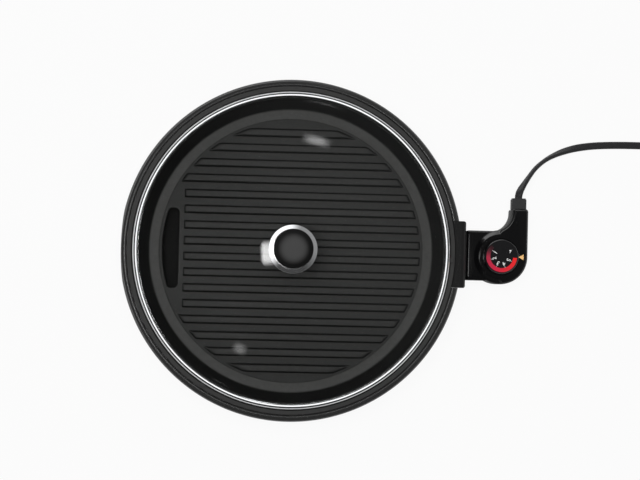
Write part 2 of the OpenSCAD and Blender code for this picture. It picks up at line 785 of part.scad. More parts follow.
// The band is a rolled channel that grips the edge of the glass
band_lip = 1.2;
band_profile = concat(
    [[band_in_r, flange_z], [band_r - 0.8, flange_z], [band_r, flange_z + 0.8]],
    arc(band_r - 2.2, flange_z + band_h - 2.2, 2.2, 0, 120, 6),
    [[band_in_r + 1.2, glass_z + glass_t + band_lip], [band_in_r, glass_z + glass_t + 0.6]],
    [[band_in_r, glass_z + glass_t + 0.05], [glass_edge_r + 0.05, glass_z + glass_t + 0.05]],
    [[glass_edge_r + 0.05, glass_z - 0.05], [band_in_r, glass_z - 0.05]]
);

module lid_band() {
    color([0.86, 0.87, 0.88]) on_table() rotate_extrude() polygon(band_profile);
}

cap_profile = concat(
    [[insert_r + fit_gap, cap_z + 2], [insert_r + fit_gap, cap_z]],
    [[cap_d / 2 - 6.5, cap_z], [cap_d / 2 - 7, cap_z + 8]],
    [[cap_d / 2 - 3, cap_z + 13]],
    arc(cap_d / 2 - 4.5, cap_z + cap_h - 5.5, 4.5, -20, 90, 8),
    [[0, cap_z + cap_h], [0, cap_z + 16], [insert_r + fit_gap, cap_z + 16]]
);

module knob_cap() {
    color([0.12, 0.12, 0.13]) on_table() rotate_extrude() polygon(cap_profile);
}

module knob_collar() {
    color([0.85, 0.86, 0.88]) on_table() rotate_extrude() polygon(concat(
        [[knob_hole_r, collar_z], [collar_d / 2 - 0.8, collar_z], [collar_d / 2, collar_z + 0.8]],
        arc(collar_d / 2 - 5, collar_z + collar_h - 5, 5, 0, 90, 6),
        [[knob_hole_r, cap_z]]));
}

module knob_insert() {
    color([0.75, 0.65, 0.4]) on_table() translate([0, 0, cap_z]) difference() {
        cylinder(h = 16, r = insert_r);
        translate([0, 0, -1]) cylinder(h = 15, r = knob_screw_d / 2 + fit_gap);
    }
}

module knob_screw() {
    washer_under_z = dome_z(0, glass_t) - 1.75;
    color("silver") on_table() {
        translate([0, 0, washer_under_z - 2.6]) cylinder(h = 2.6, r1 = 3.6, r2 = 4.8);
        translate([0, 0, washer_under_z - 0.5]) cylinder(h = cap_z + 13 - washer_under_z, r = knob_screw_d / 2);
    }
}

module knob_washer() {
    color("silver") on_table() translate([0, 0, dome_z(0, glass_t) - 1.75]) difference() {
        cylinder(h = 1.5, r = 9);
        translate([0, 0, -1]) cylinder(h = 4, r = knob_screw_d / 2 + 0.2);
    }
}

module knob_gasket() {
    color([0.3, 0.3, 0.3]) on_table() rotate_extrude() polygon([
        [knob_hole_r, dome_z(knob_hole_r)], [gasket_r, dome_z(gasket_r)],
        [gasket_r, collar_z], [knob_hole_r, collar_z]
    ]);
}

// ---- Temperature control ----

// Plan of the housing, inset by w: neck, round head, side arm and the hollow of the elbow
module control_plan(w) {
    translate([neck_x + w, -neck_w / 2 + w]) square([dial_x - neck_x - w, neck_w - 2 * w]);
    translate([dial_x, dial_y]) circle(head_r - w);
    difference() {
        translate([elbow_x, dial_y]) square([arm_x1 - w - elbow_x, arm_l - w - dial_y]);
        translate([elbow_x, elbow_y]) circle(elbow_r + w);
        translate([elbow_x - 1, elbow_y]) square([arm_x0 + w - elbow_x + 1, arm_l]);
    }
}

// The raised part of the head and arm, with a sloped shoulder towards the neck
module head_plan(w) {
    intersection() {
        control_plan(w);
        translate([dial_x, -60]) square([60, 140]);
    }
}

module shoulder(w) {
    translate([dial_x, dial_y, 0]) {
        translate([0, 0, neck_z - w - 2]) cylinder(h = 2, r = head_r - 1.2 - w);
        translate([0, 0, neck_z - w]) cylinder(h = head_step, r1 = head_r - 1.2 - w, r2 = head_r - 5.2 - w);
    }
}

// Cuts that take the sharp top or bottom edges off the housing; z is the face, up is 1 or -1
module edge_cuts(z, up, size) {
    translate([arm_x1, arm_l + 5, z]) rotate([90, 0, 0]) linear_extrude(arm_l + 5 - dial_y)
        polygon([[0.1, up * 0.1], [-size, up * 0.1], [0.1, -up * size]]);
    translate([arm_x0 - 5, arm_l, z]) rotate([90, 0, 90]) linear_extrude(arm_w + 10)
        polygon([[0.1, up * 0.1], [-size, up * 0.1], [0.1, -up * size]]);
    translate([dial_x, dial_y, z]) rotate([0, 0, -90]) rotate_extrude(angle = 90)
        polygon([[head_r + 0.1, up * 0.1], [head_r - size, up * 0.1], [head_r + 0.1, -up * size]]);
    translate([elbow_x, elbow_y, z]) rotate([0, 0, -90]) rotate_extrude(angle = 90)
        polygon([[elbow_r - 0.1, up * 0.1], [elbow_r + size * 0.6, up * 0.1], [elbow_r - 0.1, -up * size * 0.6]]);
}

module neck_edge_cuts(z, up, size) {
    mirrored_y() translate([neck_x - 5, neck_w / 2, z]) rotate([90, 0, 90])
        linear_extrude(elbow_x - neck_x + 5)
            polygon([[0.1, up * 0.1], [-size, up * 0.1], [0.1, -up * size]]);
}

module relief_opening() {
    translate([relief_x, arm_l + 1, axis_z]) rotate([90, 0, 0]) linear_extrude(shell_t + 2)
        round_rect(relief_neck_w + 0.2, relief_neck_h + 0.2, 2);
}

// Screw places of the housing: two at the neck, one in the head
control_screw_spots = [
    [neck_x + 7, neck_w / 2 - 7], [neck_x + 7, -neck_w / 2 + 7], [dial_x + 20, dial_y + 9]
];
head_boss = [control_screw_spots[2][0], control_screw_spots[2][1], axis_z];

module control_bosses(z0, z1) {
    for (p = control_screw_spots) translate([p[0], p[1], z0]) cylinder(h = z1 - z0, r = 3.4);
}

module control_screw_holes(z0, z1, r) {
    for (p = control_screw_spots) translate([p[0], p[1], z0]) cylinder(h = z1 - z0, r = r);
}

module control_bottom() {
    color([0.1, 0.1, 0.11]) on_table() difference() {
        union() {
            difference() {
                translate([0, 0, house_z]) linear_extrude(axis_z - house_z) control_plan(0);
                translate([0, 0, house_z + shell_t]) linear_extrude(axis_z) control_plan(shell_t);
            }
            control_bosses(house_z + 0.5, axis_z);
        }
        edge_cuts(house_z, -1, edge_cut);
        neck_edge_cuts(house_z, -1, edge_cut);
        nose_opening(0.05, neck_x - 5, neck_x + shell_t + 1);
        relief_opening();
        control_screw_holes(house_z - 1, axis_z + 1, 1.7);
        control_screw_holes(house_z - 1, house_z + 1.8, 3.1);
    }
}

module control_top() {
    color([0.1, 0.1, 0.11]) on_table() difference() {
        union() {
            difference() {
                union() {
                    translate([0, 0, axis_z]) linear_extrude(neck_z - axis_z) control_plan(0);
                    translate([0, 0, neck_z - 1]) linear_extrude(head_step + 1) head_plan(0);
                    shoulder(0);
                }
                translate([0, 0, axis_z - 1]) linear_extrude(neck_z - axis_z + 1 - shell_t) control_plan(shell_t);
                translate([0, 0, axis_z]) linear_extrude(head_z - axis_z - shell_t - dial_seat_depth)
                    head_plan(shell_t);
            }
            control_bosses(axis_z, neck_z - 0.5);
            translate([dial_x, dial_y, neck_z - 8]) cylinder(h = 8 + head_step - 1.5, r = shaft_d / 2 + 2.5);
            translate(head_boss) cylinder(h = head_z - 1.5 - axis_z, r = 3.4);
        }
        edge_cuts(head_z, 1, edge_cut + 1);
        neck_edge_cuts(neck_z, 1, 1.8);
        translate([dial_x, dial_y, head_z - dial_seat_depth]) cylinder(h = 5, r = dial_seat_r);
        translate([dial_x, dial_y, axis_z]) cylinder(h = 30, r = shaft_d / 2 + shaft_gap);
        lens_shape(0.05, head_z - 6);
        nose_opening(0.05, neck_x - 5, neck_x + shell_t + 1);
        relief_opening();
        control_screw_holes(axis_z - 1, axis_z + 9, 1.35);
    }
}

module contact_block() {
    color([0.2, 0.2, 0.2]) on_table() difference() {
        union() {
            nose_opening(0, nose_x, neck_x + shell_t);
            nose_opening(-1.5, neck_x + shell_t - 1, neck_x + 9);
        }
        mirrored_y() {
            rod_x(nose_x - 1, pin_end_x + 4, 4.25, pin_pitch / 2, axis_z);
            rod_x(pin_end_x, neck_x + 12, 2, pin_pitch / 2, axis_z);
        }
        rod_x(nose_x - 1, neck_x + 12, rod_d / 2 + 0.05, 0, axis_z);
        mirrored_y() translate([control_screw_spots[0][0], control_screw_spots[0][1], 0])
            cylinder(h = 80, r = 3.6);
    }
}

module contact_sockets() {
    color([0.8, 0.65, 0.35]) on_table() mirrored_y() {
        difference() {
            rod_x(nose_x + 1.5, pin_end_x + 3.9, 4.2, pin_pitch / 2, axis_z);
            rod_x(nose_x, pin_end_x + 1.5, pin_d / 2 + 0.07, pin_pitch / 2, axis_z);
        }
        rod_x(pin_end_x + 3.5, neck_x + 13, 1.9, pin_pitch / 2, axis_z);
    }
}

module sensor_rod() {
    color([0.85, 0.86, 0.88]) on_table() {
        rod_x(sleeve_x0 + 5, neck_x + 14, rod_d / 2, 0, axis_z);
        translate([sleeve_x0 + 5, 0, axis_z]) sphere(rod_d / 2, $fn = 48);
    }
}

frame_z = house_z + shell_t;

module thermostat_frame() {
    color([0.7, 0.71, 0.72]) on_table() difference() {
        union() {
            block([neck_x + 9.5, -10, frame_z], [dial_x + 12, 10, frame_z + 1.2]);
            block([neck_x + 9.5, -10, frame_z], [neck_x + 10.7, 10, axis_z + 6]);
            block([dial_x + 10.8, -4, frame_z], [dial_x + 12, 4, axis_z + 2]);
        }
        rod_x(neck_x + 5, neck_x + 15, rod_d / 2 + 0.05, 0, axis_z);
    }
}

stack_x = neck_x + 18;

module blade_stack() {
    color([0.93, 0.92, 0.88]) on_table() difference() {
        block([stack_x, -5, frame_z + 1.2], [stack_x + 9, 5, axis_z + 3.2]);
        for (z = [axis_z - 6, axis_z - 2, axis_z + 2]) block([stack_x - 1, -3.5, z], [stack_x + 10, 3.5, z + 0.6]);
    }
}

module contact_blades() {
    color([0.8, 0.6, 0.35]) on_table() {
        block([stack_x - 3.5, -3.5, axis_z - 6], [dial_x + 1, 3.5, axis_z - 5.4]);
        block([stack_x - 3.5, -3.5, axis_z - 2], [dial_x + 1, 3.5, axis_z - 1.4]);
        translate([dial_x - 3, 0, axis_z - 5.4]) cylinder(h = 1.2, r = 1.8);
        translate([dial_x - 3, 0, axis_z - 3.2]) cylinder(h = 1.2, r = 1.8);
    }
}

module bimetal_strip() {
    color([0.6, 0.58, 0.55]) on_table() block([stack_x - 3, -3.5, axis_z + 2], [dial_x + 3, 3.5, axis_z + 2.6]);
}

lens_x0 = dial_x + dial_seat_r - 0.6;
lens_l = 5.6;

// Triangular pilot window that points at the dial
module lens_shape(gap, z0) {
    translate([0, 0, z0]) linear_extrude(head_z + 0.5 - z0) polygon([
        [lens_x0 - gap, dial_y], [lens_x0 + lens_l + gap, dial_y - 3 - gap], [lens_x0 + lens_l + gap, dial_y + 3 + gap]
    ]);
}

module pilot_lens() {
    color([1, 0.75, 0.35]) on_table() intersection() {
        lens_shape(0, head_z - 6);
        block([dial_x, -10, 0], [arm_x1, 10, head_z]);
    }
}

module pilot_lamp() {
    color([1, 0.6, 0.3]) on_table() {
        translate([lens_x0 + 2.8, dial_y, axis_z + 1]) cylinder(h = head_z - 6.5 - axis_z - 1, r = 2.2);
        translate([lens_x0 + 2.8, dial_y, head_z - 6.5]) cylinder(h = 0.5, r1 = 2.2, r2 = 0.6);
    }
}

lead_r = 1.3;

module inner_leads() {
    color([0.25, 0.25, 0.26]) on_table() for (side = [0, 1]) {
        x = relief_x - 2 + side * 4;
        y = 20 - side * 4;
        z = axis_z - 4;
        end_x = stack_x + 2 + side * 4.5;
        rod_y(y, arm_l - shell_t - 3.5, lead_r, x, z);
        translate([x, y, z]) sphere(lead_r, $fn = 32);
        rod_x(end_x, x, lead_r, y, z);
        translate([end_x, y, z]) sphere(lead_r, $fn = 32);
        rod_y(5, y, lead_r, end_x, z);
    }
}

module control_screws() {
    color("silver") on_table() {
        control_screw_holes(house_z + 0.2, house_z + 1.8, 2.9);
        control_screw_holes(house_z + 1, axis_z + 8, 1.3);
    }
}

module strain_relief() {
    color([0.33, 0.33, 0.34]) on_table() translate([relief_x, 0, axis_z]) {
        translate([0, arm_l, 0]) rotate([-90, 0, 0]) linear_extrude(relief_l - 1.2)
            round_rect(relief_w, relief_h, 1.6);
        translate([0, arm_l + relief_l - 1.3, 0]) rotate([-90, 0, 0]) linear_extrude(1.3)
            round_rect(relief_w - 1.4, relief_h - 1.4, 1.4);
        translate([0, arm_l - shell_t - 1, 0]) rotate([-90, 0, 0]) linear_extrude(shell_t + 1.1)
            round_rect(relief_neck_w, relief_neck_h, 1.9);
        translate([0, arm_l - shell_t - 3.5, 0]) rotate([-90, 0, 0]) linear_extrude(3.4)
            round_rect(arm_w - 2 * shell_t - 1, relief_h, 1.5);
    }
}

// ---- Dial ----

grip_count = 24;

module dial() {
    color([0.14, 0.14, 0.15]) on_table() translate([dial_x, dial_y, 0]) difference() {
        union() {
            translate([0, 0, dial_z]) cylinder(h = dial_top_z - 1 - dial_z, r = dial_d / 2);
            translate([0, 0, dial_top_z - 1]) cylinder(h = 1, r1 = dial_d / 2, r2 = dial_d / 2 - 1);
        }
        translate([0, 0, dial_top_z - 0.6]) cylinder(h = 2, r = dial_d / 2 - 1.4);
        translate([0, 0, dial_z - 1]) cylinder(h = dial_top_z - dial_z - 2, r = shaft_d / 2 + 0.02);
        translate([0, 0, dial_z - 1]) difference() {
            cylinder(h = dial_top_z - dial_z - 1.6, r = dial_d / 2 - 2);
            translate([0, 0, -1]) cylinder(h = 20, r = shaft_d / 2 + 2);
        }
        for (i = [0 : grip_count - 1]) rotate([0, 0, (i + 0.5) * 360 / grip_count])
            translate([dial_d / 2 + 0.5, 0, dial_z - 1]) cylinder(h = dial_h - 0.4, r = 1);
    }
}

module dial_face() {
    color([0.8, 0.12, 0.12]) on_table() translate([dial_x, dial_y, dial_top_z - 0.6])
        cylinder(h = 0.5, r = dial_d / 2 - 1.5);
}

module control_shaft() {
    color([0.8, 0.8, 0.82]) on_table() translate([dial_x, dial_y, 0]) {
        translate([0, 0, axis_z + 7]) cylinder(h = dial_top_z - 3.5 - axis_z - 7, r = shaft_d / 2);
        translate([0, 0, axis_z + 3.2]) cylinder(h = 4, r = 1.8);
    }
}

// ---- Cord and plug ----

// The flat cord's section
flat_section = [
    [cord_w / 2, -cord_t * 0.2], [cord_w / 2, cord_t * 0.2], [cord_w / 2 - cord_t * 0.3, cord_t / 2],
    [-cord_w / 2 + cord_t * 0.3, cord_t / 2], [-cord_w / 2, cord_t * 0.2], [-cord_w / 2, -cord_t * 0.2],
    [-cord_w / 2 + cord_t * 0.3, -cord_t / 2], [cord_w / 2 - cord_t * 0.3, -cord_t / 2]
];

module power_cord() {
    color([0.25, 0.25, 0.26]) sweep(CORD_ROUTE, flat_section);
}

module cord_tail() {
    color([0.25, 0.25, 0.26]) sweep(TAIL_ROUTE, flat_section);
}

coil_h = (coil_turns + 1) * cord_t + 0.4;

module cord_coil() {
    color([0.25, 0.25, 0.26]) translate([coil_x, coil_y, 0]) rotate_extrude() polygon([
        [coil_r - cord_w / 2 - 0.4, 0], [coil_r + cord_w / 2 + 0.4, 0],
        [coil_r + cord_w / 2 + 0.4, coil_h], [coil_r - cord_w / 2 - 0.4, coil_h]
    ]);
}

plug_end = TAIL_ROUTE[len(TAIL_ROUTE) - 1];

module plug_body() {
    color([0.22, 0.22, 0.23]) translate([plug_end[0], plug_end[1], 0]) hull() {
        translate([0, -plug_l + 2, plug_h / 2]) rotate([90, 0, 0]) linear_extrude(2)
            round_rect(plug_w, plug_h, 4);
        translate([0, -plug_l * 0.45, plug_h / 2]) rotate([90, 0, 0]) linear_extrude(1)
            round_rect(plug_w - 2, plug_h, 5);
        translate([0, 0, plug_h / 2]) rotate([90, 0, 0]) linear_extrude(1) round_rect(12, 9, 3);
    }
}

module plug_blades() {
    color([0.82, 0.78, 0.6]) translate([plug_end[0], plug_end[1] - plug_l, plug_h / 2])
        for (x = [-1, 1]) translate([x * blade_pitch / 2 - 0.75, -blade_l, -3.2]) difference() {
            cube([1.5, blade_l, 6.4]);
            translate([-1, 4, 3.2]) rotate([0, 90, 0]) cylinder(h = 4, r = 1.6);
        }
}

base_shell();
rubber_feet();
heat_reflector();
reflector_screws();
drip_tray();
grill_plate();
heating_element();
terminal_pins();
pin_insulators();
terminal_bracket();
bracket_screws();
sensor_sleeve();
socket_guard();
guard_screws();
lid_glass();
lid_band();
knob_cap();
knob_collar();
knob_insert();
knob_screw();
knob_gasket();
knob_washer();
control_top();
control_bottom();
contact_block();
contact_sockets();
sensor_rod();
thermostat_frame();
blade_stack();
contact_blades();
bimetal_strip();
pilot_lamp();
pilot_lens();
inner_leads();
control_screws();
strain_relief();
dial();
dial_face();
control_shaft();
power_cord();
cord_coil();
cord_tail();
plug_body();
plug_blades();
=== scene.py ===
"""Electric indoor grill with lid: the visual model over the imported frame."""

import json
import math

import bmesh
import bpy
from mathutils import Matrix, Vector

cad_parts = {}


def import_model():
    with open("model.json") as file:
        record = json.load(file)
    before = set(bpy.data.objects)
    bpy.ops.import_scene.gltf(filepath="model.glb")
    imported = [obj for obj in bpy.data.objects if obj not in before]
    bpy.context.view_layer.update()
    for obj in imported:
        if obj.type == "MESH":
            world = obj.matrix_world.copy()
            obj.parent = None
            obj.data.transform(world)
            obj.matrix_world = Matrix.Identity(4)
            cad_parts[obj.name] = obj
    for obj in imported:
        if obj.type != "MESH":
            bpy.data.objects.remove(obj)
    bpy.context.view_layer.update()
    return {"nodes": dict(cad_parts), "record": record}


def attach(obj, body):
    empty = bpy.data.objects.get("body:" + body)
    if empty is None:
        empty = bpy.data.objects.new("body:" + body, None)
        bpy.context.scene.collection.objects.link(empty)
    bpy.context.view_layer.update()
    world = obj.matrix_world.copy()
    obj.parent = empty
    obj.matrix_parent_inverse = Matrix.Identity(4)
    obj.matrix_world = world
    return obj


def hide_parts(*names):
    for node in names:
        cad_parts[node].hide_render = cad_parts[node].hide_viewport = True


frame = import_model()

MM = 0.001
GX = -37.25  # the grill's own axis, in mm in the row frame
node = frame["nodes"].__getitem__

# Sizes repeated from the part's source, in mm
# Base: underside, top of its floor, underside and top of its rim, ledge that carries the plate
BASE_Z, FLOOR_TOP_Z, RIM_UNDER_Z, RIM_Z, LEDGE_Z = 12.0, 14.8, 58.0, 70.5, 67.5
FOOT_R, WALL_R, RIM_R, SEAT_R, LEDGE_R = 164.0, 173.5, 178.0, 171.0, 164.5
# The flattened front is an arc about FRONT_X, and the tray fills its middle
FRONT_X, FRONT_R, FRONT_HALF, TRAY_HALF = 111.5, 288.0, 50.0, 45.0
# Plate: its floor, its flange, the axis of pins and sensor rod, its radii, bars and drain slot
FLOOR_UNDER_Z, FLOOR_Z, FLANGE_Z, AXIS_Z = 37.0, 41.5, 71.5, 31.5
PLATE_FOOT_R, PLATE_R, BAR_TOP_R, BAR_PITCH, BAR_COUNT = 149.5, 170.5, 136.3, 16.5, 16
DRAIN_X, DRAIN_HALF = -118.0, 42.0
# Lid: edge of the glass, its rise to the apex, the hole at its middle, the band, the knob
GLASS_R, DOME_RISE, GLASS_HOLE_R, GLASS_T, APEX_Z = 157.0, 38.0, 3.7, 4.0, 116.1
BAND_IN_R, BAND_R, BAND_Z, GLASS_Z = 158.5, 164.0, 71.5, 74.1
COLLAR_R, COLLAR_Z, CAP_Z, KNOB_TOP_Z = 24.5, 117.3, 124.3, 148.3
# Control: axis of the dial, half width of the neck, elbow, arm, and the levels of the housing
DIAL_X, DIAL_Y, HEAD_R, NECK_X, NECK_HALF = 221.8, -0.8, 29.2, 186.0, 26.5
ELBOW_X, ELBOW_Y, ELBOW_R, ARM_X0, ARM_X1, ARM_Y = 214.6, 46.5, 20.0, 234.6, 251.0, 50.6
HOUSE_Z, NECK_Z, HEAD_Z = 16.0, 46.0, 50.0
DIAL_R, DIAL_RIM_Z, DIAL_FACE_Z = 18.1, 56.35, 55.95


def polar(r, degrees):
    return r * math.cos(math.radians(degrees)), r * math.sin(math.radians(degrees))


def smooth_step(tree, value, low, high, at_low, at_high):
    """A shader value that goes from at_low to at_high as value goes from low to high."""
    step = tree.nodes.new("ShaderNodeMapRange")
    step.interpolation_type = "SMOOTHSTEP"
    for key, number in (("From Min", low), ("From Max", high), ("To Min", at_low), ("To Max", at_high)):
        step.inputs[key].default_value = number
    tree.links.new(value, step.inputs["Value"])
    return step.outputs["Result"]


# ---- Camera ----

CAMERA_PLACE, CAMERA_AIM = (-37.6, -32.0, 1550.0), (29.5, 11.6, 60.0)
CAMERA_LENS, CAMERA_ROLL = 80.3, 1.5


def camera():
    """It looks almost straight down, its right side turned a little from +X."""
    data = bpy.data.cameras.new("camera")
    data.sensor_width = 36.0
    data.lens = CAMERA_LENS
    data.clip_end = 20
    cam = bpy.data.objects.new("camera", data)
    bpy.context.collection.objects.link(cam)
    place, aim = (Vector(((x + GX) * MM, y * MM, z * MM)) for x, y, z in (CAMERA_PLACE, CAMERA_AIM))
    back = (place - aim).normalized()
    right = Vector((*polar(1.0, CAMERA_ROLL), 0))
    right = (right - right.dot(back) * back).normalized()
    up = back.cross(right)
    cam.matrix_world = Matrix((
        (right.x, up.x, back.x, place.x),
        (right.y, up.y, back.y, place.y),
        (right.z, up.z, back.z, place.z),
        (0, 0, 0, 1),
    ))
    bpy.context.scene.camera = cam


camera()


# ---- Mesh helpers, all in mm about the grill's axis unless said otherwise ----

def add_mesh(name, verts, faces, body, mat, stands_for=(), slot=None, gx=GX, smooth=32.0):
    mesh = bpy.data.meshes.new(name)
    mesh.from_pydata([((x + gx) * MM, y * MM, z * MM) for x, y, z in verts], [], faces)
    obj = bpy.data.objects.new(name, mesh)
    bpy.context.collection.objects.link(obj)
    tidy(obj, smooth)
    if mat:
        mesh.materials.append(mat)
    if body:
        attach(obj, body)
    if stands_for:
        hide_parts(*stands_for)
    return obj


def tidy(obj, smooth):
    """Outward normals, smooth shading, and sharp edges over an angle."""
    bm = bmesh.new()
    bm.from_mesh(obj.data)
    bmesh.ops.remove_doubles(bm, verts=bm.verts, dist=1e-6)
    bmesh.ops.recalc_face_normals(bm, faces=bm.faces)
    limit = math.radians(smooth)
    for f in bm.faces:
        f.smooth = True
    for e in bm.edges:
        e.smooth = len(e.link_faces) == 2 and e.calc_face_angle() < limit
    bm.to_mesh(obj.data)
    bm.free()


def revolve(profile, n=256, cx=0.0, cy=0.0):
    """A closed profile of (radius, height) turned about an upright axis."""
    verts, rows = [], []
    for r, z in profile:
        if r < 1e-6:
            rows.append([len(verts)] * n)
            verts.append((cx, cy, z))
        else:
            rows.append(list(range(len(verts), len(verts) + n)))
            angles = [2 * math.pi * i / n for i in range(n)]
            verts += [(cx + r * math.cos(a), cy + r * math.sin(a), z) for a in angles]
    faces = []
    for a, b in zip(rows, rows[1:] + rows[:1]):
        if a[0] == a[1] and b[0] == b[1]:
            continue
        for i in range(n):
            k = (i + 1) % n
            face = list(dict.fromkeys([a[i], a[k], b[k], b[i]]))
            if len(face) > 2:
                faces.append(face)
    return verts, faces


def loft(rings, caps=True):
    """Rings of equal count, joined in order."""
    n = len(rings[0])
    verts = [p for ring in rings for p in ring]
    faces = []
    for j in range(len(rings) - 1):
        for i in range(n):
            k = (i + 1) % n
            faces.append([j * n + i, j * n + k, (j + 1) * n + k, (j + 1) * n + i])
    if caps:
        faces.append(list(range(n))[::-1])
        faces.append([(len(rings) - 1) * n + i for i in range(n)])
    return verts, faces


def arc(cx, cy, r, a0, a1, n=8):
    turned = [polar(r, a0 + (a1 - a0) * i / n) for i in range(n + 1)]
    return [(cx + x, cy + y) for x, y in turned]


def soften(points, steps=4):
    """Points (x, y) or (x, y, radius) of a closed outline, with the given corners rounded."""
    out = []
    n = len(points)
    for i, p in enumerate(points):
        if len(p) < 3 or p[2] <= 0:
            out.append((p[0], p[1]))
            continue
        here = Vector((p[0], p[1]))
        a = Vector(points[i - 1][:2]) - here
        b = Vector(points[(i + 1) % n][:2]) - here
        half = a.angle(b) / 2
        reach = min(p[2] / math.tan(half), 0.49 * a.length, 0.49 * b.length)
        r = reach * math.tan(half)
        centre = here + (a.normalized() + b.normalized()).normalized() * (r / math.sin(half))
        s, e = here + a.normalized() * reach - centre, here + b.normalized() * reach - centre
        turn = s.angle_signed(e)
        for k in range(steps + 1):
            t = -turn * k / steps
            out.append((centre.x + s.x * math.cos(t) - s.y * math.sin(t),
                        centre.y + s.x * math.sin(t) + s.y * math.cos(t)))
    return out


def prism(plan, z0, z1):
    return loft([[(x, y, z0) for x, y in plan], [(x, y, z1) for x, y in plan]])


def box_mesh(x0, y0, z0, x1, y1, z1):
    return prism([(x0, y0), (x1, y0), (x1, y1), (x0, y1)], z0, z1)


def join(*parts):
    verts, faces = [], []
    for v, f in parts:
        faces += [[i + len(verts) for i in face] for face in f]
        verts += list(v)
    return verts, faces


def moved(part, dx=0.0, dy=0.0, dz=0.0, turn=0.0):
    c, s = math.cos(math.radians(turn)), math.sin(math.radians(turn))
    return [(x * c - y * s + dx, x * s + y * c + dy, z + dz) for x, y, z in part[0]], part[1]


def boolean(obj, cutters, operation="DIFFERENCE", smooth=32.0):
    for verts, faces in cutters:
        cutter = add_mesh("cutter", verts, faces, None, None, smooth=180)
        mod = obj.modifiers.new("cut", "BOOLEAN")
        mod.operation = operation
        mod.solver = "EXACT"
        mod.object = cutter
        graph = bpy.context.evaluated_depsgraph_get()
        new = bpy.data.meshes.new_from_object(obj.evaluated_get(graph))
        obj.modifiers.clear()
        old, name = obj.data, obj.data.name
        obj.data = new
        bpy.data.meshes.remove(old)
        new.name = name
        bpy.data.objects.remove(cutter)
    tidy(obj, smooth)
    return obj


def bevelled(obj, width, segments=3, angle=32.0):
    mod = obj.modifiers.new("bevel", "BEVEL")
    mod.width = width * MM
    mod.segments = segments
    mod.limit_method = "ANGLE"
    mod.angle_limit = math.radians(angle)
    mod.harden_normals = True
    mod.miter_outer = "MITER_ARC"
    return obj


# ---- Materials ----

def material(name, color, rough=0.4, metal=0.0, noise=(0.05, 60.0), bump=None, mottled=0.0, **sockets):
    """A principled surface whose roughness and colour vary by a spread, over a fine bump.

    noise is (spread of the roughness, scale), bump is (height in mm, scale), mottled is the
    share by which the colour varies, and sockets are other inputs of the shader.
    """
    mat = bpy.data.materials.new(name)
    mat.use_nodes = True
    nodes, links = mat.node_tree.nodes, mat.node_tree.links
    shader = nodes["Principled BSDF"]
    shader.inputs["Metallic"].default_value = metal
    for key, value in sockets.items():
        shader.inputs[key.replace("_", " ")].default_value = value
    where = nodes.new("ShaderNodeTexCoord")

    def cloud(scale, detail=3.0):
        tex = nodes.new("ShaderNodeTexNoise")
        tex.inputs["Scale"].default_value = scale
        tex.inputs["Detail"].default_value = detail
        links.new(where.outputs["Object"], tex.inputs["Vector"])
        return tex.outputs["Fac"]

    spread, scale = noise
    ramp = nodes.new("ShaderNodeMapRange")
    ramp.inputs["To Min"].default_value = max(rough - spread, 0.02)
    ramp.inputs["To Max"].default_value = min(rough + spread, 1.0)
    links.new(cloud(scale), ramp.inputs["Value"])
    links.new(ramp.outputs["Result"], shader.inputs["Roughness"])
    mix = nodes.new("ShaderNodeMix")
    mix.data_type = "RGBA"
    mix.inputs[6].default_value = (*(c * (1 - mottled) for c in color), 1)
    mix.inputs[7].default_value = (*(min(c * (1 + mottled), 1) for c in color), 1)
    links.new(cloud(scale * 0.6, 5.0), mix.inputs[0])
    links.new(mix.outputs[2], shader.inputs["Base Color"])
    if bump:
        height, size = bump
        relief = nodes.new("ShaderNodeBump")
        relief.inputs["Strength"].default_value = 1.0
        relief.inputs["Distance"].default_value = height * MM
        links.new(cloud(size, 2.0), relief.inputs["Height"])
        links.new(relief.outputs["Normal"], shader.inputs["Normal"])
    return mat


def turned_steel(name, rough, depth):
    """Steel turned on a lathe: fine rings about the grill's axis."""
    mat = material(name, (0.8, 0.81, 0.82), rough, 1.0, noise=(0.05, 25.0), mottled=0.03)
    nodes, links = mat.node_tree.nodes, mat.node_tree.links
    where = nodes.new("ShaderNodeTexCoord")
    shift = nodes.new("ShaderNodeVectorMath")
    shift.operation = "SUBTRACT"
    shift.inputs[1].default_value = (GX * MM, 0, 0)
    flat = nodes.new("ShaderNodeVectorMath")
    flat.operation = "MULTIPLY"
    flat.inputs[1].default_value = (1, 1, 0)
    length = nodes.new("ShaderNodeVectorMath")
    length.operation = "LENGTH"
    tex = nodes.new("ShaderNodeTexNoise")
    tex.noise_dimensions = "1D"
    tex.inputs["Scale"].default_value = 2500.0  # rings to a metre of radius
    tex.inputs["Detail"].default_value = 3.0
    links.new(where.outputs["Object"], shift.inputs[0])
    links.new(shift.outputs[0], flat.inputs[0])
    links.new(flat.outputs[0], length.inputs[0])
    links.new(length.outputs["Value"], tex.inputs["W"])
    relief = nodes.new("ShaderNodeBump")
    relief.inputs["Strength"].default_value = 1.0
    relief.inputs["Distance"].default_value = depth * MM
    links.new(tex.outputs["Fac"], relief.inputs["Height"])
    links.new(relief.outputs["Normal"], nodes["Principled BSDF"].inputs["Normal"])
    return mat


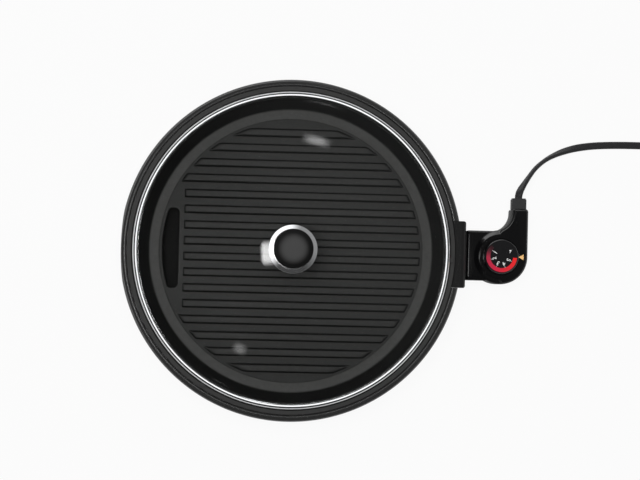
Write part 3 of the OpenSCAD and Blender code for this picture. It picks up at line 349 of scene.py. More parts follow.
FINISHES = {
    "base_plastic": dict(color=(0.02, 0.02, 0.0198), rough=0.2, noise=(0.04, 30.0), bump=(0.004, 900.0),
                         mottled=0.1, Specular_IOR_Level=0.8),
    "foot_rubber": dict(color=(0.02, 0.02, 0.02), rough=0.75, bump=(0.03, 1500.0), mottled=0.2),
    "reflector_sheet": dict(color=(0.72, 0.73, 0.74), rough=0.3, metal=1.0, noise=(0.1, 18.0), mottled=0.06),
    "screw_steel": dict(color=(0.6, 0.6, 0.61), rough=0.32, metal=1.0, noise=(0.08, 300.0), mottled=0.08),
    "tray_plastic": dict(color=(0.014, 0.014, 0.015), rough=0.22, noise=(0.05, 30.0), bump=(0.01, 900.0),
                         mottled=0.1),
    # a lighter band at the floor's edge: painted sheen, as the fillet would catch light
    "nonstick_painted_sheen": dict(color=(0.06, 0.0595, 0.0585), rough=0.5, noise=(0.08, 400.0),
                            bump=(0.02, 1600.0), mottled=0.25),
    "nonstick": dict(color=(0.033, 0.033, 0.0325), rough=0.5, noise=(0.08, 400.0), bump=(0.012, 1600.0),
                     mottled=0.2),
    "element_steel": dict(color=(0.2, 0.2, 0.205), rough=0.42, metal=1.0, noise=(0.12, 70.0), mottled=0.25),
    "pin_steel": dict(color=(0.7, 0.7, 0.7), rough=0.22, metal=1.0, noise=(0.06, 200.0), mottled=0.05),
    "ceramic": dict(color=(0.72, 0.68, 0.58), rough=0.35, noise=(0.08, 200.0), bump=(0.02, 900.0),
                    mottled=0.06),
    "sheet_steel": dict(color=(0.55, 0.56, 0.57), rough=0.35, metal=1.0, noise=(0.1, 60.0), mottled=0.1),
    "guard_plastic": dict(color=(0.009, 0.009, 0.009), rough=0.25, noise=(0.05, 40.0), bump=(0.012, 900.0),
                          mottled=0.1),
    "knob_plastic": dict(color=(0.05, 0.05, 0.05), rough=0.7, noise=(0.05, 60.0), bump=(0.015, 1200.0),
                         mottled=0.12, Specular_IOR_Level=0.25),
    "brass": dict(color=(0.62, 0.46, 0.2), rough=0.28, metal=1.0, noise=(0.1, 150.0), mottled=0.1),
    "silicone": dict(color=(0.12, 0.12, 0.12), rough=0.6, bump=(0.02, 900.0), mottled=0.1),
    "control_plastic": dict(color=(0.0018, 0.0018, 0.002), rough=0.1, noise=(0.03, 30.0),
                            bump=(0.004, 700.0), mottled=0.1, Specular_IOR_Level=0.9),
    "control_sides": dict(color=(0.003, 0.003, 0.0032), rough=0.4, noise=(0.05, 60.0), bump=(0.01, 900.0),
                          mottled=0.1, Specular_IOR_Level=0.12),
    "block_plastic": dict(color=(0.03, 0.03, 0.03), rough=0.5, noise=(0.1, 200.0), bump=(0.03, 900.0),
                          mottled=0.2),
    "rod_steel": dict(color=(0.72, 0.73, 0.74), rough=0.2, metal=1.0, noise=(0.06, 90.0), mottled=0.04),
    "bimetal": dict(color=(0.4, 0.37, 0.33), rough=0.35, metal=1.0, noise=(0.1, 120.0), mottled=0.1),
    "lamp_glass": dict(color=(0.9, 0.5, 0.25), rough=0.15, noise=(0.04, 90.0), mottled=0.1),
    "amber_lens": dict(color=(0.82, 0.5, 0.2), rough=0.25, noise=(0.05, 300.0), mottled=0.12),
    "relief_rubber": dict(color=(0.032, 0.032, 0.033), rough=0.55, noise=(0.08, 300.0),
                          bump=(0.03, 1500.0), mottled=0.15),
    "dial_plastic": dict(color=(0.005, 0.005, 0.0055), rough=0.17, noise=(0.04, 200.0),
                         bump=(0.008, 1500.0), mottled=0.12, Specular_IOR_Level=0.9),
    "dial_print": dict(color=(0.012, 0.012, 0.013), rough=0.3, noise=(0.05, 300.0), mottled=0.12),
    "cord_rubber": dict(color=(0.02, 0.02, 0.021), rough=0.42, noise=(0.08, 300.0), bump=(0.02, 1200.0),
                        mottled=0.15),
    "tie_rubber": dict(color=(0.035, 0.035, 0.036), rough=0.5, noise=(0.08, 400.0), bump=(0.03, 1400.0),
                       mottled=0.2),
    "plug_plastic": dict(color=(0.018, 0.018, 0.019), rough=0.42, noise=(0.08, 300.0), bump=(0.02, 1200.0),
                         mottled=0.15),
}
M = {name: material(name, **finish) for name, finish in FINISHES.items()}
M["band_steel"] = turned_steel("band_steel", 0.08, 0.001)
M["collar_steel"] = turned_steel("collar_steel", 0.18, 0.004)


def glass_material():
    mat = bpy.data.materials.new("lid_glass")
    mat.use_nodes = True
    nodes, links = mat.node_tree.nodes, mat.node_tree.links
    shader = nodes["Principled BSDF"]
    shader.inputs["Base Color"].default_value = (0.955, 0.96, 0.955, 1)
    shader.inputs["Transmission Weight"].default_value = 1.0
    shader.inputs["IOR"].default_value = 1.47
    where = nodes.new("ShaderNodeTexCoord")
    tex = nodes.new("ShaderNodeTexNoise")
    tex.inputs["Scale"].default_value = 14.0
    tex.inputs["Detail"].default_value = 4.0
    ramp = nodes.new("ShaderNodeMapRange")
    ramp.inputs["To Min"].default_value = 0.0
    ramp.inputs["To Max"].default_value = 0.02
    links.new(where.outputs["Object"], tex.inputs["Vector"])
    links.new(tex.outputs["Fac"], ramp.inputs["Value"])
    links.new(ramp.outputs["Result"], shader.inputs["Roughness"])
    clear = nodes.new("ShaderNodeBsdfTransparent")
    clear.inputs["Color"].default_value = (0.88, 0.885, 0.88, 1)
    path = nodes.new("ShaderNodeLightPath")
    mix = nodes.new("ShaderNodeMixShader")
    links.new(path.outputs["Is Shadow Ray"], mix.inputs["Fac"])
    links.new(shader.outputs["BSDF"], mix.inputs[1])
    links.new(clear.outputs["BSDF"], mix.inputs[2])
    links.new(mix.outputs["Shader"], nodes["Material Output"].inputs["Surface"])
    return mat


def steep_faces_painted_shade(mat, start, end, least, rough=0.85):
    """Painted shade: steep faces get a deeper black, least of the colour, and a duller coat.
    Upright normals from start to end turn to the plain colour, lighter as where light falls from above."""
    nodes, links = mat.node_tree.nodes, mat.node_tree.links
    shader = nodes["Principled BSDF"]
    where = nodes.new("ShaderNodeTexCoord")
    split = nodes.new("ShaderNodeSeparateXYZ")
    links.new(where.outputs["Normal"], split.inputs[0])
    facing_up = smooth_step(mat.node_tree, split.outputs["Z"], start, end, 0.0, 1.0)
    color = shader.inputs["Base Color"].links[0].from_socket
    dark = nodes.new("ShaderNodeMix")
    dark.data_type = "RGBA"
    dark.blend_type = "MULTIPLY"
    dark.inputs[0].default_value = 1.0
    shade = nodes.new("ShaderNodeMapRange")
    shade.inputs["To Min"].default_value = least
    links.new(facing_up, shade.inputs["Value"])
    links.new(color, dark.inputs[6])
    links.new(shade.outputs["Result"], dark.inputs[7])
    links.new(dark.outputs[2], shader.inputs["Base Color"])
    finish = nodes.new("ShaderNodeMix")
    finish.inputs["A"].default_value = rough
    links.new(facing_up, finish.inputs["Factor"])
    links.new(shader.inputs["Roughness"].links[0].from_socket, finish.inputs["B"])
    links.new(finish.outputs["Result"], shader.inputs["Roughness"])


# painted shade on steep faces: sides of the bars and pan wall, the floor's border, the cap's edge
steep_faces_painted_shade(M["nonstick"], 0.5, 0.93, 0.14)
steep_faces_painted_shade(M["nonstick_painted_sheen"], 0.6, 0.97, 0.14)
steep_faces_painted_shade(M["knob_plastic"], 0.9, 0.99, 0.08, 0.7)
M["lid_glass"] = glass_material()


# ---- Cord ----

# The part's own route, in metres in the row frame: x, y, z and the turn of the flat section
ROUTE = [
    (0.2056, 0.0624, 0.0315, 0), (0.2056, 0.0644, 0.0315, 4), (0.2066, 0.069, 0.0313, 24),
    (0.2092, 0.0742, 0.0304, 50), (0.2129, 0.08, 0.0288, 72), (0.2184, 0.0877, 0.0256, 88),
    (0.2239, 0.0946, 0.0216, 90), (0.2292, 0.0997, 0.0176, 90), (0.235, 0.1043, 0.0136, 90),
    (0.2425, 0.1092, 0.0096, 80), (0.2515, 0.1138, 0.0064, 60), (0.262, 0.118, 0.0042, 35),
    (0.275, 0.1216, 0.0029, 12), (0.292, 0.1242, 0.0023, 0), (0.312, 0.1255, 0.0023, 0),
    (0.334, 0.126, 0.0023, 0), (0.358, 0.126, 0.0023, 0), (0.381, 0.126, 0.0023, 0),
    (0.404, 0.126, 0.0023, 0),
]
TAIL = [
    (0.448, 0.082, 0.0126, 0), (0.448, 0.066, 0.0122, 0), (0.448, 0.05, 0.0108, 0),
    (0.448, 0.034, 0.0092, 0), (0.448, 0.02, 0.0085, 0), (0.448, 0.018, 0.0085, 0),
]
CORD_W, CORD_T = 0.008, 0.0046
COIL_X, COIL_Y, COIL_R, COIL_TURNS = 0.404, 0.082, 0.044, 2.25


def smooth_line(points, steps=3):
    """A Catmull-Rom curve through the points, each with its turn."""
    out = []
    last = len(points) - 1
    for i in range(last):
        p0, p1, p2, p3 = (Vector(points[k]) for k in (max(i - 1, 0), i, i + 1, min(i + 2, last)))
        for k in range(steps):
            t = k / steps
            out.append(0.5 * (2 * p1 + (p2 - p0) * t + (2 * p0 - 5 * p1 + 4 * p2 - p3) * t ** 2
                              + (3 * p1 - p0 - 3 * p2 + p3) * t ** 3))
    out.append(Vector(points[-1]))
    return out


def coil_tie():
    """A reusable strap round the strands of the coil at its side nearest the front."""
    x, y = COIL_X / MM, COIL_Y / MM - COIL_R / MM
    low, high, half_y, corner = 2.2, 11.6, 4.1, 2.2

    def strap(grow, half_x):
        y0, y1, z0, z1 = y - half_y - grow, y + half_y + grow, low - grow, high + grow
        loop = soften([(a, b, corner + grow) for a, b in ((y0, z0), (y1, z0), (y1, z1), (y0, z1))], 6)
        return loft([[(x + dx, a, b) for a, b in loop] for dx in (-half_x, half_x)])

    def tie_piece(name, mesh):
        return add_mesh(name, *mesh, "control", M["tie_rubber"], slot="cord_rubber", gx=0.0)

    obj = tie_piece("coil_tie", strap(0.9, 2.2))
    boolean(obj, [moved(strap(0.0, 3.0), GX)])
    buckle = box_mesh(x - 3.1, y - 6.6, 5.1, x + 3.1, y - 4.6, 9.3)
    section = ((-2.1, 0), (2.1, 0), (2.1, 0.8), (-2.1, 0.8))
    tail = loft([[(x + dx, y - 5.7 + dy, z) for dx, dy in section] for z in (9.0, 10.6, 12.2, 13.6)])
    head = tie_piece("coil_tie_buckle", join(buckle, tail))
    bevelled(head, 0.3, 2)
    return [obj, head]


def cord_section():
    """Two round conductors with a shallow groove between, in metres across and up."""
    w, t = CORD_W / 2, CORD_T / 2
    section = []
    for side in (1, -1):
        for a in range(-75, 76, 30):
            across, up = polar(t, a)
            section.append((side * (w - t) + side * across, side * up))
        section.append((side * 0.0007, side * t * 0.78))
    return section


def cord():
    n = int(COIL_TURNS * 32)
    low, high = ROUTE[-1][2], TAIL[0][2]
    coil = []
    for i in range(1, n):
        a = math.pi / 2 - 2 * math.pi * COIL_TURNS * i / n
        coil.append(Vector((COIL_X + COIL_R * math.cos(a), COIL_Y + COIL_R * math.sin(a),
                            low + (high - low) * i / n, 0)))
    line = smooth_line(ROUTE) + coil + smooth_line(TAIL)
    section = cord_section()
    rings = []
    for i, p in enumerate(line):
        along = (line[min(i + 1, len(line) - 1)] - line[max(i - 1, 0)]).to_3d().normalized()
        level = along.cross(Vector((0, 0, 1))).normalized()
        upright = level.cross(along)
        turn = math.radians(p[3])
        across = level * math.cos(turn) + upright * math.sin(turn)
        up = upright * math.cos(turn) - level * math.sin(turn)
        rings.append([tuple((p.to_3d() + across * a + up * b) / MM) for a, b in section])
    obj = add_mesh("flat_cord", *loft(rings), "control", M["cord_rubber"],
                   ("power_cord", "cord_coil", "cord_tail"), "cord_rubber", gx=0.0, smooth=60)
    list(coil_tie())
    node("plug_body")
    node("plug_blades")


cord()


# ---- Base ----

def front_x(y):
    return FRONT_X - math.sqrt(FRONT_R ** 2 - y ** 2)


def front_curve(n=24):
    """The plan of the flattened front: points from -Y to +Y."""
    ys = [-FRONT_HALF + 2 * FRONT_HALF * i / n for i in range(n + 1)]
    return [(front_x(y), y) for y in ys]


def beyond_front(x, z0, z1):
    """All that lies in front of the flattened front, as far as x."""
    return prism([(x, -FRONT_HALF), *front_curve(), (x, FRONT_HALF)], z0, z1)


def foot_arc(foot, r, lean, z, n):
    """The rounded edge between a floor at z and a wall that leans out from foot."""
    return arc(foot - r * (1 - math.sin(lean)) / math.cos(lean), z + r, r, -90, -math.degrees(lean), n)


def vent(half, out, turn):
    corners = [(-half, -3), (half, -3), (half, 3), (-half, 3)]
    slot = prism(soften([(x, y, 2.9) for x, y in corners]), 11, 17)
    return moved(moved(slot, dx=out), turn=turn)


QUARTERS = (45, 135, 225, 315)


def base_profile():
    lean = math.atan((WALL_R - FOOT_R) / (RIM_UNDER_Z - BASE_Z))
    wall, foot_turn, rim_turn = 2.8, 10, 5
    profile = [(0, BASE_Z)] + foot_arc(FOOT_R, foot_turn, lean, BASE_Z, 10)
    profile += soften([(WALL_R, RIM_UNDER_Z - 1.0), (WALL_R, RIM_UNDER_Z, 0.6), (RIM_R, RIM_UNDER_Z, 1.2),
                       (RIM_R, 60.5)])[1:-1]
    profile += arc(RIM_R - rim_turn, RIM_Z - rim_turn, rim_turn, 0, 90, 14)
    profile += [(171.9, 70.45), (171.3, 70.2), (171.05, 69.8), (171.0, 69.4)]
    profile += [(SEAT_R, LEDGE_Z), (LEDGE_R, LEDGE_Z), (LEDGE_R, 61.5), (167.3, 61.5), (167.3, 64.7)]
    profile += [(170.7, 64.7), (170.7, RIM_UNDER_Z)]
    inner_foot = FOOT_R + wall * math.tan(lean) - wall / math.cos(lean)
    profile += foot_arc(inner_foot, foot_turn - wall, lean, FLOOR_TOP_Z, 6)[::-1]
    return profile + [(0, FLOOR_TOP_Z)]


def base():
    obj = add_mesh("base_shell_visual", *revolve(base_profile(), 288), "base", M["base_plastic"],
                   ("base_shell",), "base_plastic", smooth=38)
    vents = [vent(14, 76, 15 + 30 * i) for i in range(12)] + [vent(11, 38, 30 + 60 * i) for i in range(6)]
    way_half = TRAY_HALF + 0.4
    tray_way = box_mesh(-190, -way_half, FLOOR_TOP_Z, -140, way_half, RIM_UNDER_Z)
    boolean(obj, [beyond_front(-195.0, -1, 80), tray_way, join(*vents)], smooth=38)
    bevelled(obj, 0.5, 2, 50)
    # the guard's notch, with finer edges: its gap is hardly seen from above
    boolean(obj, [box_mesh(145, -34.9, 16.95, 190, 34.9, 76)], smooth=38)
    bevelled(obj, 0.15, 1, 50)

    leg = [(9.2, 4), (11.2, 4), (11.6, 4.4), (13.7, BASE_Z + 0.3), (0, BASE_Z + 0.3), (0, 6), (9.2, 6)]
    legs = [revolve(leg, 64, *polar(132, a)) for a in QUARTERS]
    add_mesh("base_legs", *join(*legs), "base", M["base_plastic"], slot="base_plastic")
    sunk = FLOOR_TOP_Z - 0.2
    rail_y = TRAY_HALF + 1.6
    inside = [box_mesh(-150, s * rail_y - 1.2, sunk, -104.3, s * rail_y + 1.2, 21.8) for s in (-1, 1)]
    inside.append(box_mesh(-109.3, -TRAY_HALF, sunk, -106.9, TRAY_HALF, 19.8))
    post = [(0, sunk), (4.5, sunk), (4.5, 18.6), (4.1, 19.0), (0, 19.0)]
    inside += [revolve(post, 40, *polar(108, a)) for a in QUARTERS]
    rails = add_mesh("base_rails_and_posts", *join(*inside), "base", M["base_plastic"], slot="base_plastic")
    bevelled(rails, 0.4, 2)


base()


# ---- Drip tray ----

def tray():
    half, back, top = TRAY_HALF, -172.0, 57.6
    middle = [(x, y) for x, y in front_curve() if abs(y) <= half]
    middle = [(front_x(half), -half), *middle, (front_x(half), half)]
    front = prism([*middle, (back, half), (back, -half)], 13.0, top)
    obj = add_mesh("drip_tray_visual", *front, "tray", M["tray_plastic"], ("drip_tray",), "tray_plastic")

    def block(x0, x1, z1):
        return prism([(x0, -half), (x0, half), (x1, half), (x1, -half)], FLOOR_TOP_Z, z1)

    def grip(r, half_y):
        """A round bar along Y: the finger hold in the front."""
        ring = [polar(r, a) for a in range(0, 360, 10)]
        return loft([[(-180.5 + x, y, 36 + z) for x, z in ring] for y in (-half_y, half_y)])

    boolean(obj, [block(-172.2, -110.3, 31.0), block(-172.2, -159.5, top)], "UNION")
    boolean(obj, [box_mesh(back, -43.2, 16.6, -112.1, 43.2, 80)])
    boolean(obj, [grip(10.8, 23.8)], "UNION")
    boolean(obj, [grip(9, 22), box_mesh(-200, -30, 20, -176.6, 30, 52)])
    boolean(obj, [beyond_front(-230.0, -5, 90)], smooth=38)
    bevelled(obj, 0.5, 3, 40)
    # inside the tray: darker than its plastic, a painted shade seen through the drain slot, and matte
    inside = material("tray_inside_painted_shade", (0.005, 0.005, 0.005), 0.7, bump=(0.02, 900.0), mottled=0.15)
    obj.data.materials.append(inside)
    for f in obj.data.polygons:
        x, y, z = f.center / MM
        f.material_index = int(x - GX > back - 0.5 and abs(y) < 43.6 and z < 30.5)


tray()


# ---- Plate ----

def plate_piece(name, mesh, smooth=32.0):
    return add_mesh(name, *mesh, "plate", M["nonstick"], slot="nonstick_aluminium", smooth=smooth)


def plate_profile():
    """From the middle of the pan's floor up over the flange, and back below."""
    spread, step, lift, wall = 8.0, 0.8, 0.5, 3.5
    floor_turn, flange_turn, under_turn, lip_turn = 3.0, 2.0, 11.5, 1.0
    lean = math.atan(spread / (FLANGE_Z - FLOOR_Z))
    tan, cos, tilt = math.tan(lean), math.cos(lean), math.degrees(lean)
    out = (1 - math.sin(lean)) / cos  # how far a rounding of radius 1 stands off its corner
    profile = [(0, FLOOR_Z), (137.9, FLOOR_Z), (138.3, FLOOR_Z - 0.12), (138.9, FLOOR_Z - 0.7)]
    profile += [(139.4, FLOOR_Z - step)]
    low_r = PLATE_FOOT_R - (step - lift) * tan
    profile += arc(low_r - floor_turn * out, FLOOR_Z - step + lift + floor_turn, floor_turn, -84, -tilt, 10)
    profile += arc(PLATE_FOOT_R + spread + flange_turn * out, FLANGE_Z - flange_turn, flange_turn,
                   180 - tilt, 90, 8)
    # a groove beside the lid's band: its steep sides take the painted shade, as the band's shadow
    profile += [(164.25, FLANGE_Z), (165.1, FLANGE_Z - 1.3), (165.95, FLANGE_Z), (169.3, FLANGE_Z)]
    profile += arc(PLATE_R - lip_turn, FLANGE_Z - lip_turn, lip_turn, 80, 0, 5)
    profile += [(PLATE_R, LEDGE_Z + 0.3), (PLATE_R - 0.3, LEDGE_Z)]
    profile += [(PLATE_FOOT_R + (LEDGE_Z - FLOOR_Z) * tan + wall / cos, LEDGE_Z)]
    under = PLATE_FOOT_R + (FLOOR_UNDER_Z - FLOOR_Z) * tan + wall / cos
    profile += foot_arc(under, under_turn, lean, FLOOR_UNDER_Z, 8)[::-1]
    return profile + [(0, FLOOR_UNDER_Z)]


def drain(grow):
    """Plan of the drain slot, grown all round."""
    r, x1, half, corner = 135.5 + grow, DRAIN_X + grow, DRAIN_HALF + grow, 5 + grow
    edge = math.degrees(math.asin((half - 2.0) / r))
    pts = arc(0, 0, r, 180 + edge, 180 - edge, 20)
    pts += [(pts[-1][0] + 2.5, half), (x1 - corner, half)]
    pts += arc(x1 - corner, half - corner, corner, 90, 0, 6)[1:]
    pts += arc(x1 - corner, -half + corner, corner, 0, -90, 6)
    return pts + [(pts[0][0] + 2.5, -half)]


def grill_bar(y0):
    """A bar along X at y0. Its ends follow the floor's edge, or stop short of the drain slot."""
    # inset of each section from the bar's end, its share of the height and of the width
    sections = [(0.0, 0.0, 0.84), (0.25, 0.45, 0.92), (0.9, 0.8, 0.97), (1.9, 0.96, 1.0), (3.2, 1.0, 1.0)]
    outline = soften([(-4.7, -0.3), (4.7, -0.3), (4.7, 0.0), (3.8, 1.7), (2.8, 3.6, 0.7),
                      (-2.8, 3.6, 0.7), (-3.8, 1.7), (-4.7, 0.0)], 4)
    beside_slot = abs(y0) < 62
    rings = []
    for side, (inset, high, narrow) in [(-1, s) for s in sections] + [(1, s) for s in reversed(sections)]:
        ring = []
        for y, z in outline:
            y, z = y0 + y * narrow, z * high if z > 0 else z
            reach = BAR_TOP_R - 0.35 * max(z, 0) - inset
            x = side * math.sqrt(max(reach ** 2 - y ** 2, 1.0))
            if side < 0 and beside_slot:
                x = DRAIN_X + 5.0 + inset
            ring.append((x, y, FLOOR_Z + z))
        rings.append(ring)
    return loft(rings)


def plate():
    obj = add_mesh("plate_pan", *revolve(plate_profile(), 256), "plate", M["nonstick"],
                   ("grill_plate",), "nonstick_aluminium", smooth=38)
    boolean(obj, [prism(drain(0), 30, 50)], smooth=38)
    bevelled(obj, 0.45, 2, 60)
    # the band round the floor's edge, on the fillet, takes the lighter painted sheen
    obj.data.materials.append(M["nonstick_painted_sheen"])
    for f in obj.data.polygons:
        x, y, z = f.center / MM
        f.material_index = int(139.0 < math.hypot(x - GX, y) < 148.2 and 40.0 < z < 43.0)
    under = FLOOR_UNDER_Z + 0.2
    spout = plate_piece("plate_spout", prism(drain(2.2), 34.0, under))
    boolean(spout, [prism(drain(0.05), 30, 50)])
    bars = [grill_bar((i - (BAR_COUNT - 1) / 2) * BAR_PITCH) for i in range(BAR_COUNT)]
    plate_piece("plate_bars", join(*bars), 50)
    marks = [moved(box_mesh(164.9, -3, 71.2, 168.7, 3, 72.9), turn=a) for a in (118, 238, 358)]
    bevelled(plate_piece("lid_locators", join(*marks)), 0.5, 3)
    # the cast ridge that holds the element, and the pads of the bracket
    ridge = [revolve([(94, AXIS_Z + 0.4), (94.4, AXIS_Z), (105.6, AXIS_Z), (106, AXIS_Z + 0.4),
                      (106, under), (94, under)], 160)]
    for s in (-1, 1):
        ridge.append(box_mesh(109, s * 12.7 - 6, AXIS_Z, 138, s * 12.7 + 6, under))
        ridge.append(revolve([(0, 35.8), (4, 35.8), (4, under), (0, under)], 40, 132, s * 20))
    ridge.append(box_mesh(89.8, -29.05, AXIS_Z, 114, 29.05, under))
    ridge.append(box_mesh(116, -6, AXIS_Z, 140, 6, under))
    plate_piece("plate_ridge", join(*ridge))


plate()


# ---- Lid ----

def dome_arc(to_r, inset=0.0, n=48):
    """The dome's outer face, or a face inset below it, from its middle hole to to_r."""
    dome_r = (GLASS_R ** 2 + DOME_RISE ** 2) / (2 * DOME_RISE)
    radii = [GLASS_HOLE_R + (to_r - GLASS_HOLE_R) * i / n for i in range(n + 1)]
    return [(r, APEX_Z - dome_r + math.sqrt((dome_r - inset) ** 2 - r * r)) for r in radii]


def lid():
    def ring(name, profile, n, mat, stands_for):
        add_mesh(name, *revolve(profile, n), "lid", M[mat], (stands_for,), mat, smooth=50)

    glass = dome_arc(GLASS_R) + [(158.2, 78.25), (159.5, 78.12), (161.7, 78.1), (162.0, 77.8)]
    glass += [(162.0, GLASS_Z + 0.3), (161.7, GLASS_Z), (158.6, GLASS_Z)]
    glass += [(GLASS_R, 74.15), (155.8, 74.6)] + dome_arc(GLASS_R - 2, GLASS_T)[::-1]
    ring("lid_glass_dome", glass, 256, "lid_glass", "lid_glass")
    band = soften([(BAND_IN_R, BAND_Z, 0.6), (BAND_R, BAND_Z, 0.9), (BAND_R, 77.8, 1.4), (162.6, 79.3, 0.8),
                   (161.2, 79.48, 0.1), (159.75, 79.33, 0.1), (158.7, 78.4, 0.1), (BAND_IN_R, 78.15),
                   (162.05, 78.15), (162.05, GLASS_Z - 0.05), (BAND_IN_R, GLASS_Z - 0.05)], 8)
    ring("lid_band_ring", band, 288, "band_steel", "lid_band")
    collar = soften([(GLASS_HOLE_R, COLLAR_Z), (COLLAR_R, COLLAR_Z, 0.4), (COLLAR_R, 121.0, 0.5),
                     (20.4, 124.25, 0.2), (19.6, CAP_Z, 0.1), (19.1, 123.9), (GLASS_HOLE_R, 123.9)], 8)
    ring("knob_collar_ring", collar, 192, "collar_steel", "knob_collar")
    cap = [(5.55, CAP_Z), (12.9, CAP_Z), (13.2, CAP_Z + 0.3), (12.9, 127.0), (12.75, 130.0), (13.0, 132.3)]
    cap += [(14.2, 134.6), (16.4, 137.0), (18.0, 138.7), (19.1, 139.9), (19.6, 140.9), (19.75, 141.7)]
    cap += [(19.68, 142.5), (19.5, 143.1), (19.26, 143.48)]
    crown = (19.0, 18.5, 18, 17, 16, 15, 14, 13, 12, 10.5, 9, 7, 4.5, 0)
    cap += [(r, KNOB_TOP_Z - 4.6 * (r / crown[0]) ** 2.4) for r in crown]
    ring("knob_cap_visual", cap + [(0, 140.3), (5.55, 140.3)], 160, "knob_plastic", "knob_cap")


lid()


# ---- Temperature control ----

def control_outline(w):
    """Plan of the housing inset by w: neck, elbow, arm and round head."""
    x0, y1, head_r = NECK_X + w, NECK_HALF - w, HEAD_R - w
    pts = [(x0, -y1, 2.0), (x0, y1, 2.0)]
    pts += arc(ELBOW_X, ELBOW_Y, ELBOW_R + w, -90, 0, 14)
    pts += [(ARM_X0 + w, ARM_Y - w, max(2.6 - w, 0.6)), (ARM_X1 - w, ARM_Y - w, max(3.0 - w, 0.6))]
    pts += arc(DIAL_X, DIAL_Y, head_r, 0, -60, 16)
    left = -math.sqrt(head_r ** 2 - (y1 + DIAL_Y) ** 2)
    pts += arc(DIAL_X, DIAL_Y, head_r, -64, math.degrees(math.atan2(-y1 - DIAL_Y, left)), 12)
    return soften(pts, 5)


def head_outline(w, left_r):
    """Plan of the raised head and arm inset by w, the head's left half with a radius of its own."""
    pts = arc(DIAL_X, DIAL_Y, left_r, 270, 92, 40)
    pts += arc(ELBOW_X, ELBOW_Y, ELBOW_R + w, -68.0, 0, 12)
    pts += [(ARM_X0 + w, ARM_Y - w, max(2.4 - w * 0.3, 0.8)),
            (ARM_X1 - w, ARM_Y - w, max(3.0 - w * 0.3, 0.8))]
    pts += arc(DIAL_X, DIAL_Y, HEAD_R - w, 0, -86, 24)
    return soften(pts, 5)


def stack(levels, outline):
    """A solid through one outline per level: its height, then what the outline takes."""
    return loft([[(x, y, z) for x, y in outline(*args)] for z, *args in levels])


def control():
    def piece(name, mesh, stands_for=()):
        return add_mesh(name, *mesh, "control", M["control_plastic"], stands_for, "control_plastic",
                        smooth=40)

    neck_room = box_mesh(180, -22.85, 20.15, 189.2, 22.85, 42.85)
    seam, edge = 0.35, 2.2
    turns = [math.pi / 2 * i / 5 for i in range(5, -1, -1)]
    low = [(HOUSE_Z + edge * (1 - math.sin(a)), edge * (1 - math.cos(a))) for a in turns]
    low += [(AXIS_Z - 0.5, 0.0), (AXIS_Z - 0.25, seam), (AXIS_Z, seam)]
    high = [(AXIS_Z, seam), (AXIS_Z + 0.25, seam), (AXIS_Z + 0.5, 0.0), (NECK_Z - 1.9, 0.0)]
    high += [(NECK_Z - 1.25, 0.3), (NECK_Z - 0.3, 1.5), (NECK_Z - 0.08, 1.9), (NECK_Z, 2.4)]
    lower = piece("control_lower_half", stack(low, control_outline), ("control_bottom",))
    upper = piece("control_upper_half", stack(high, control_outline), ("control_top",))
    for obj in (lower, upper):
        boolean(obj, [neck_room])
    # height over the neck, inset, radius of the left half
    raised = [(-6.0, 0.02, 28.3), (-1.2, 0.02, 28.3), (-0.1, 0.1, 28.2), (0.15, 0.3, 27.8), (0.75, 0.6, 27.0),
              (0.95, 0.7, 26.7), (3.0, 1.5, 24.7), (3.2, 1.7, 24.5), (3.8, 2.45, 23.7), (3.95, 2.8, 23.4),
              (4.0, 3.2, 23.1)]
    head = piece("control_head", stack([(NECK_Z + rise, *rest) for rise, *rest in raised], head_outline))
    recess = [(0, HEAD_Z - 1.2), (19.3, HEAD_Z - 1.2), (19.3, HEAD_Z + 3), (0, HEAD_Z + 3)]
    lens_hole = [(240.45, DIAL_Y), (246.15, DIAL_Y - 3.05), (246.15, DIAL_Y + 3.05)]
    boolean(head, [revolve(recess, 128, DIAL_X, DIAL_Y), prism(lens_hole, HEAD_Z - 6, HEAD_Z + 3)], smooth=40)
    bevelled(head, 0.3, 2, 60)
    for obj in (lower, upper, head):
        obj.data.materials.append(M["control_sides"])
        for f in obj.data.polygons:
            f.material_index = int(abs(f.normal.z) < 0.5)


control()


# ---- Dial ----

PRINT_Z0, PRINT_Z1 = DIAL_FACE_Z + 0.01, DIAL_FACE_Z + 0.07


def strip(a0, a1, r0, r1, steps):
    """A piece of the dial's print between two angles and two radii."""
    rings = []
    for i in range(steps + 1):
        x, y = polar(1, a0 + (a1 - a0) * i / steps)
        near, far = ((DIAL_X + r * x, DIAL_Y + r * y) for r in (r0, r1))
        rings.append([(*near, PRINT_Z0), (*far, PRINT_Z0), (*far, PRINT_Z1), (*near, PRINT_Z1)])
    return loft(rings)


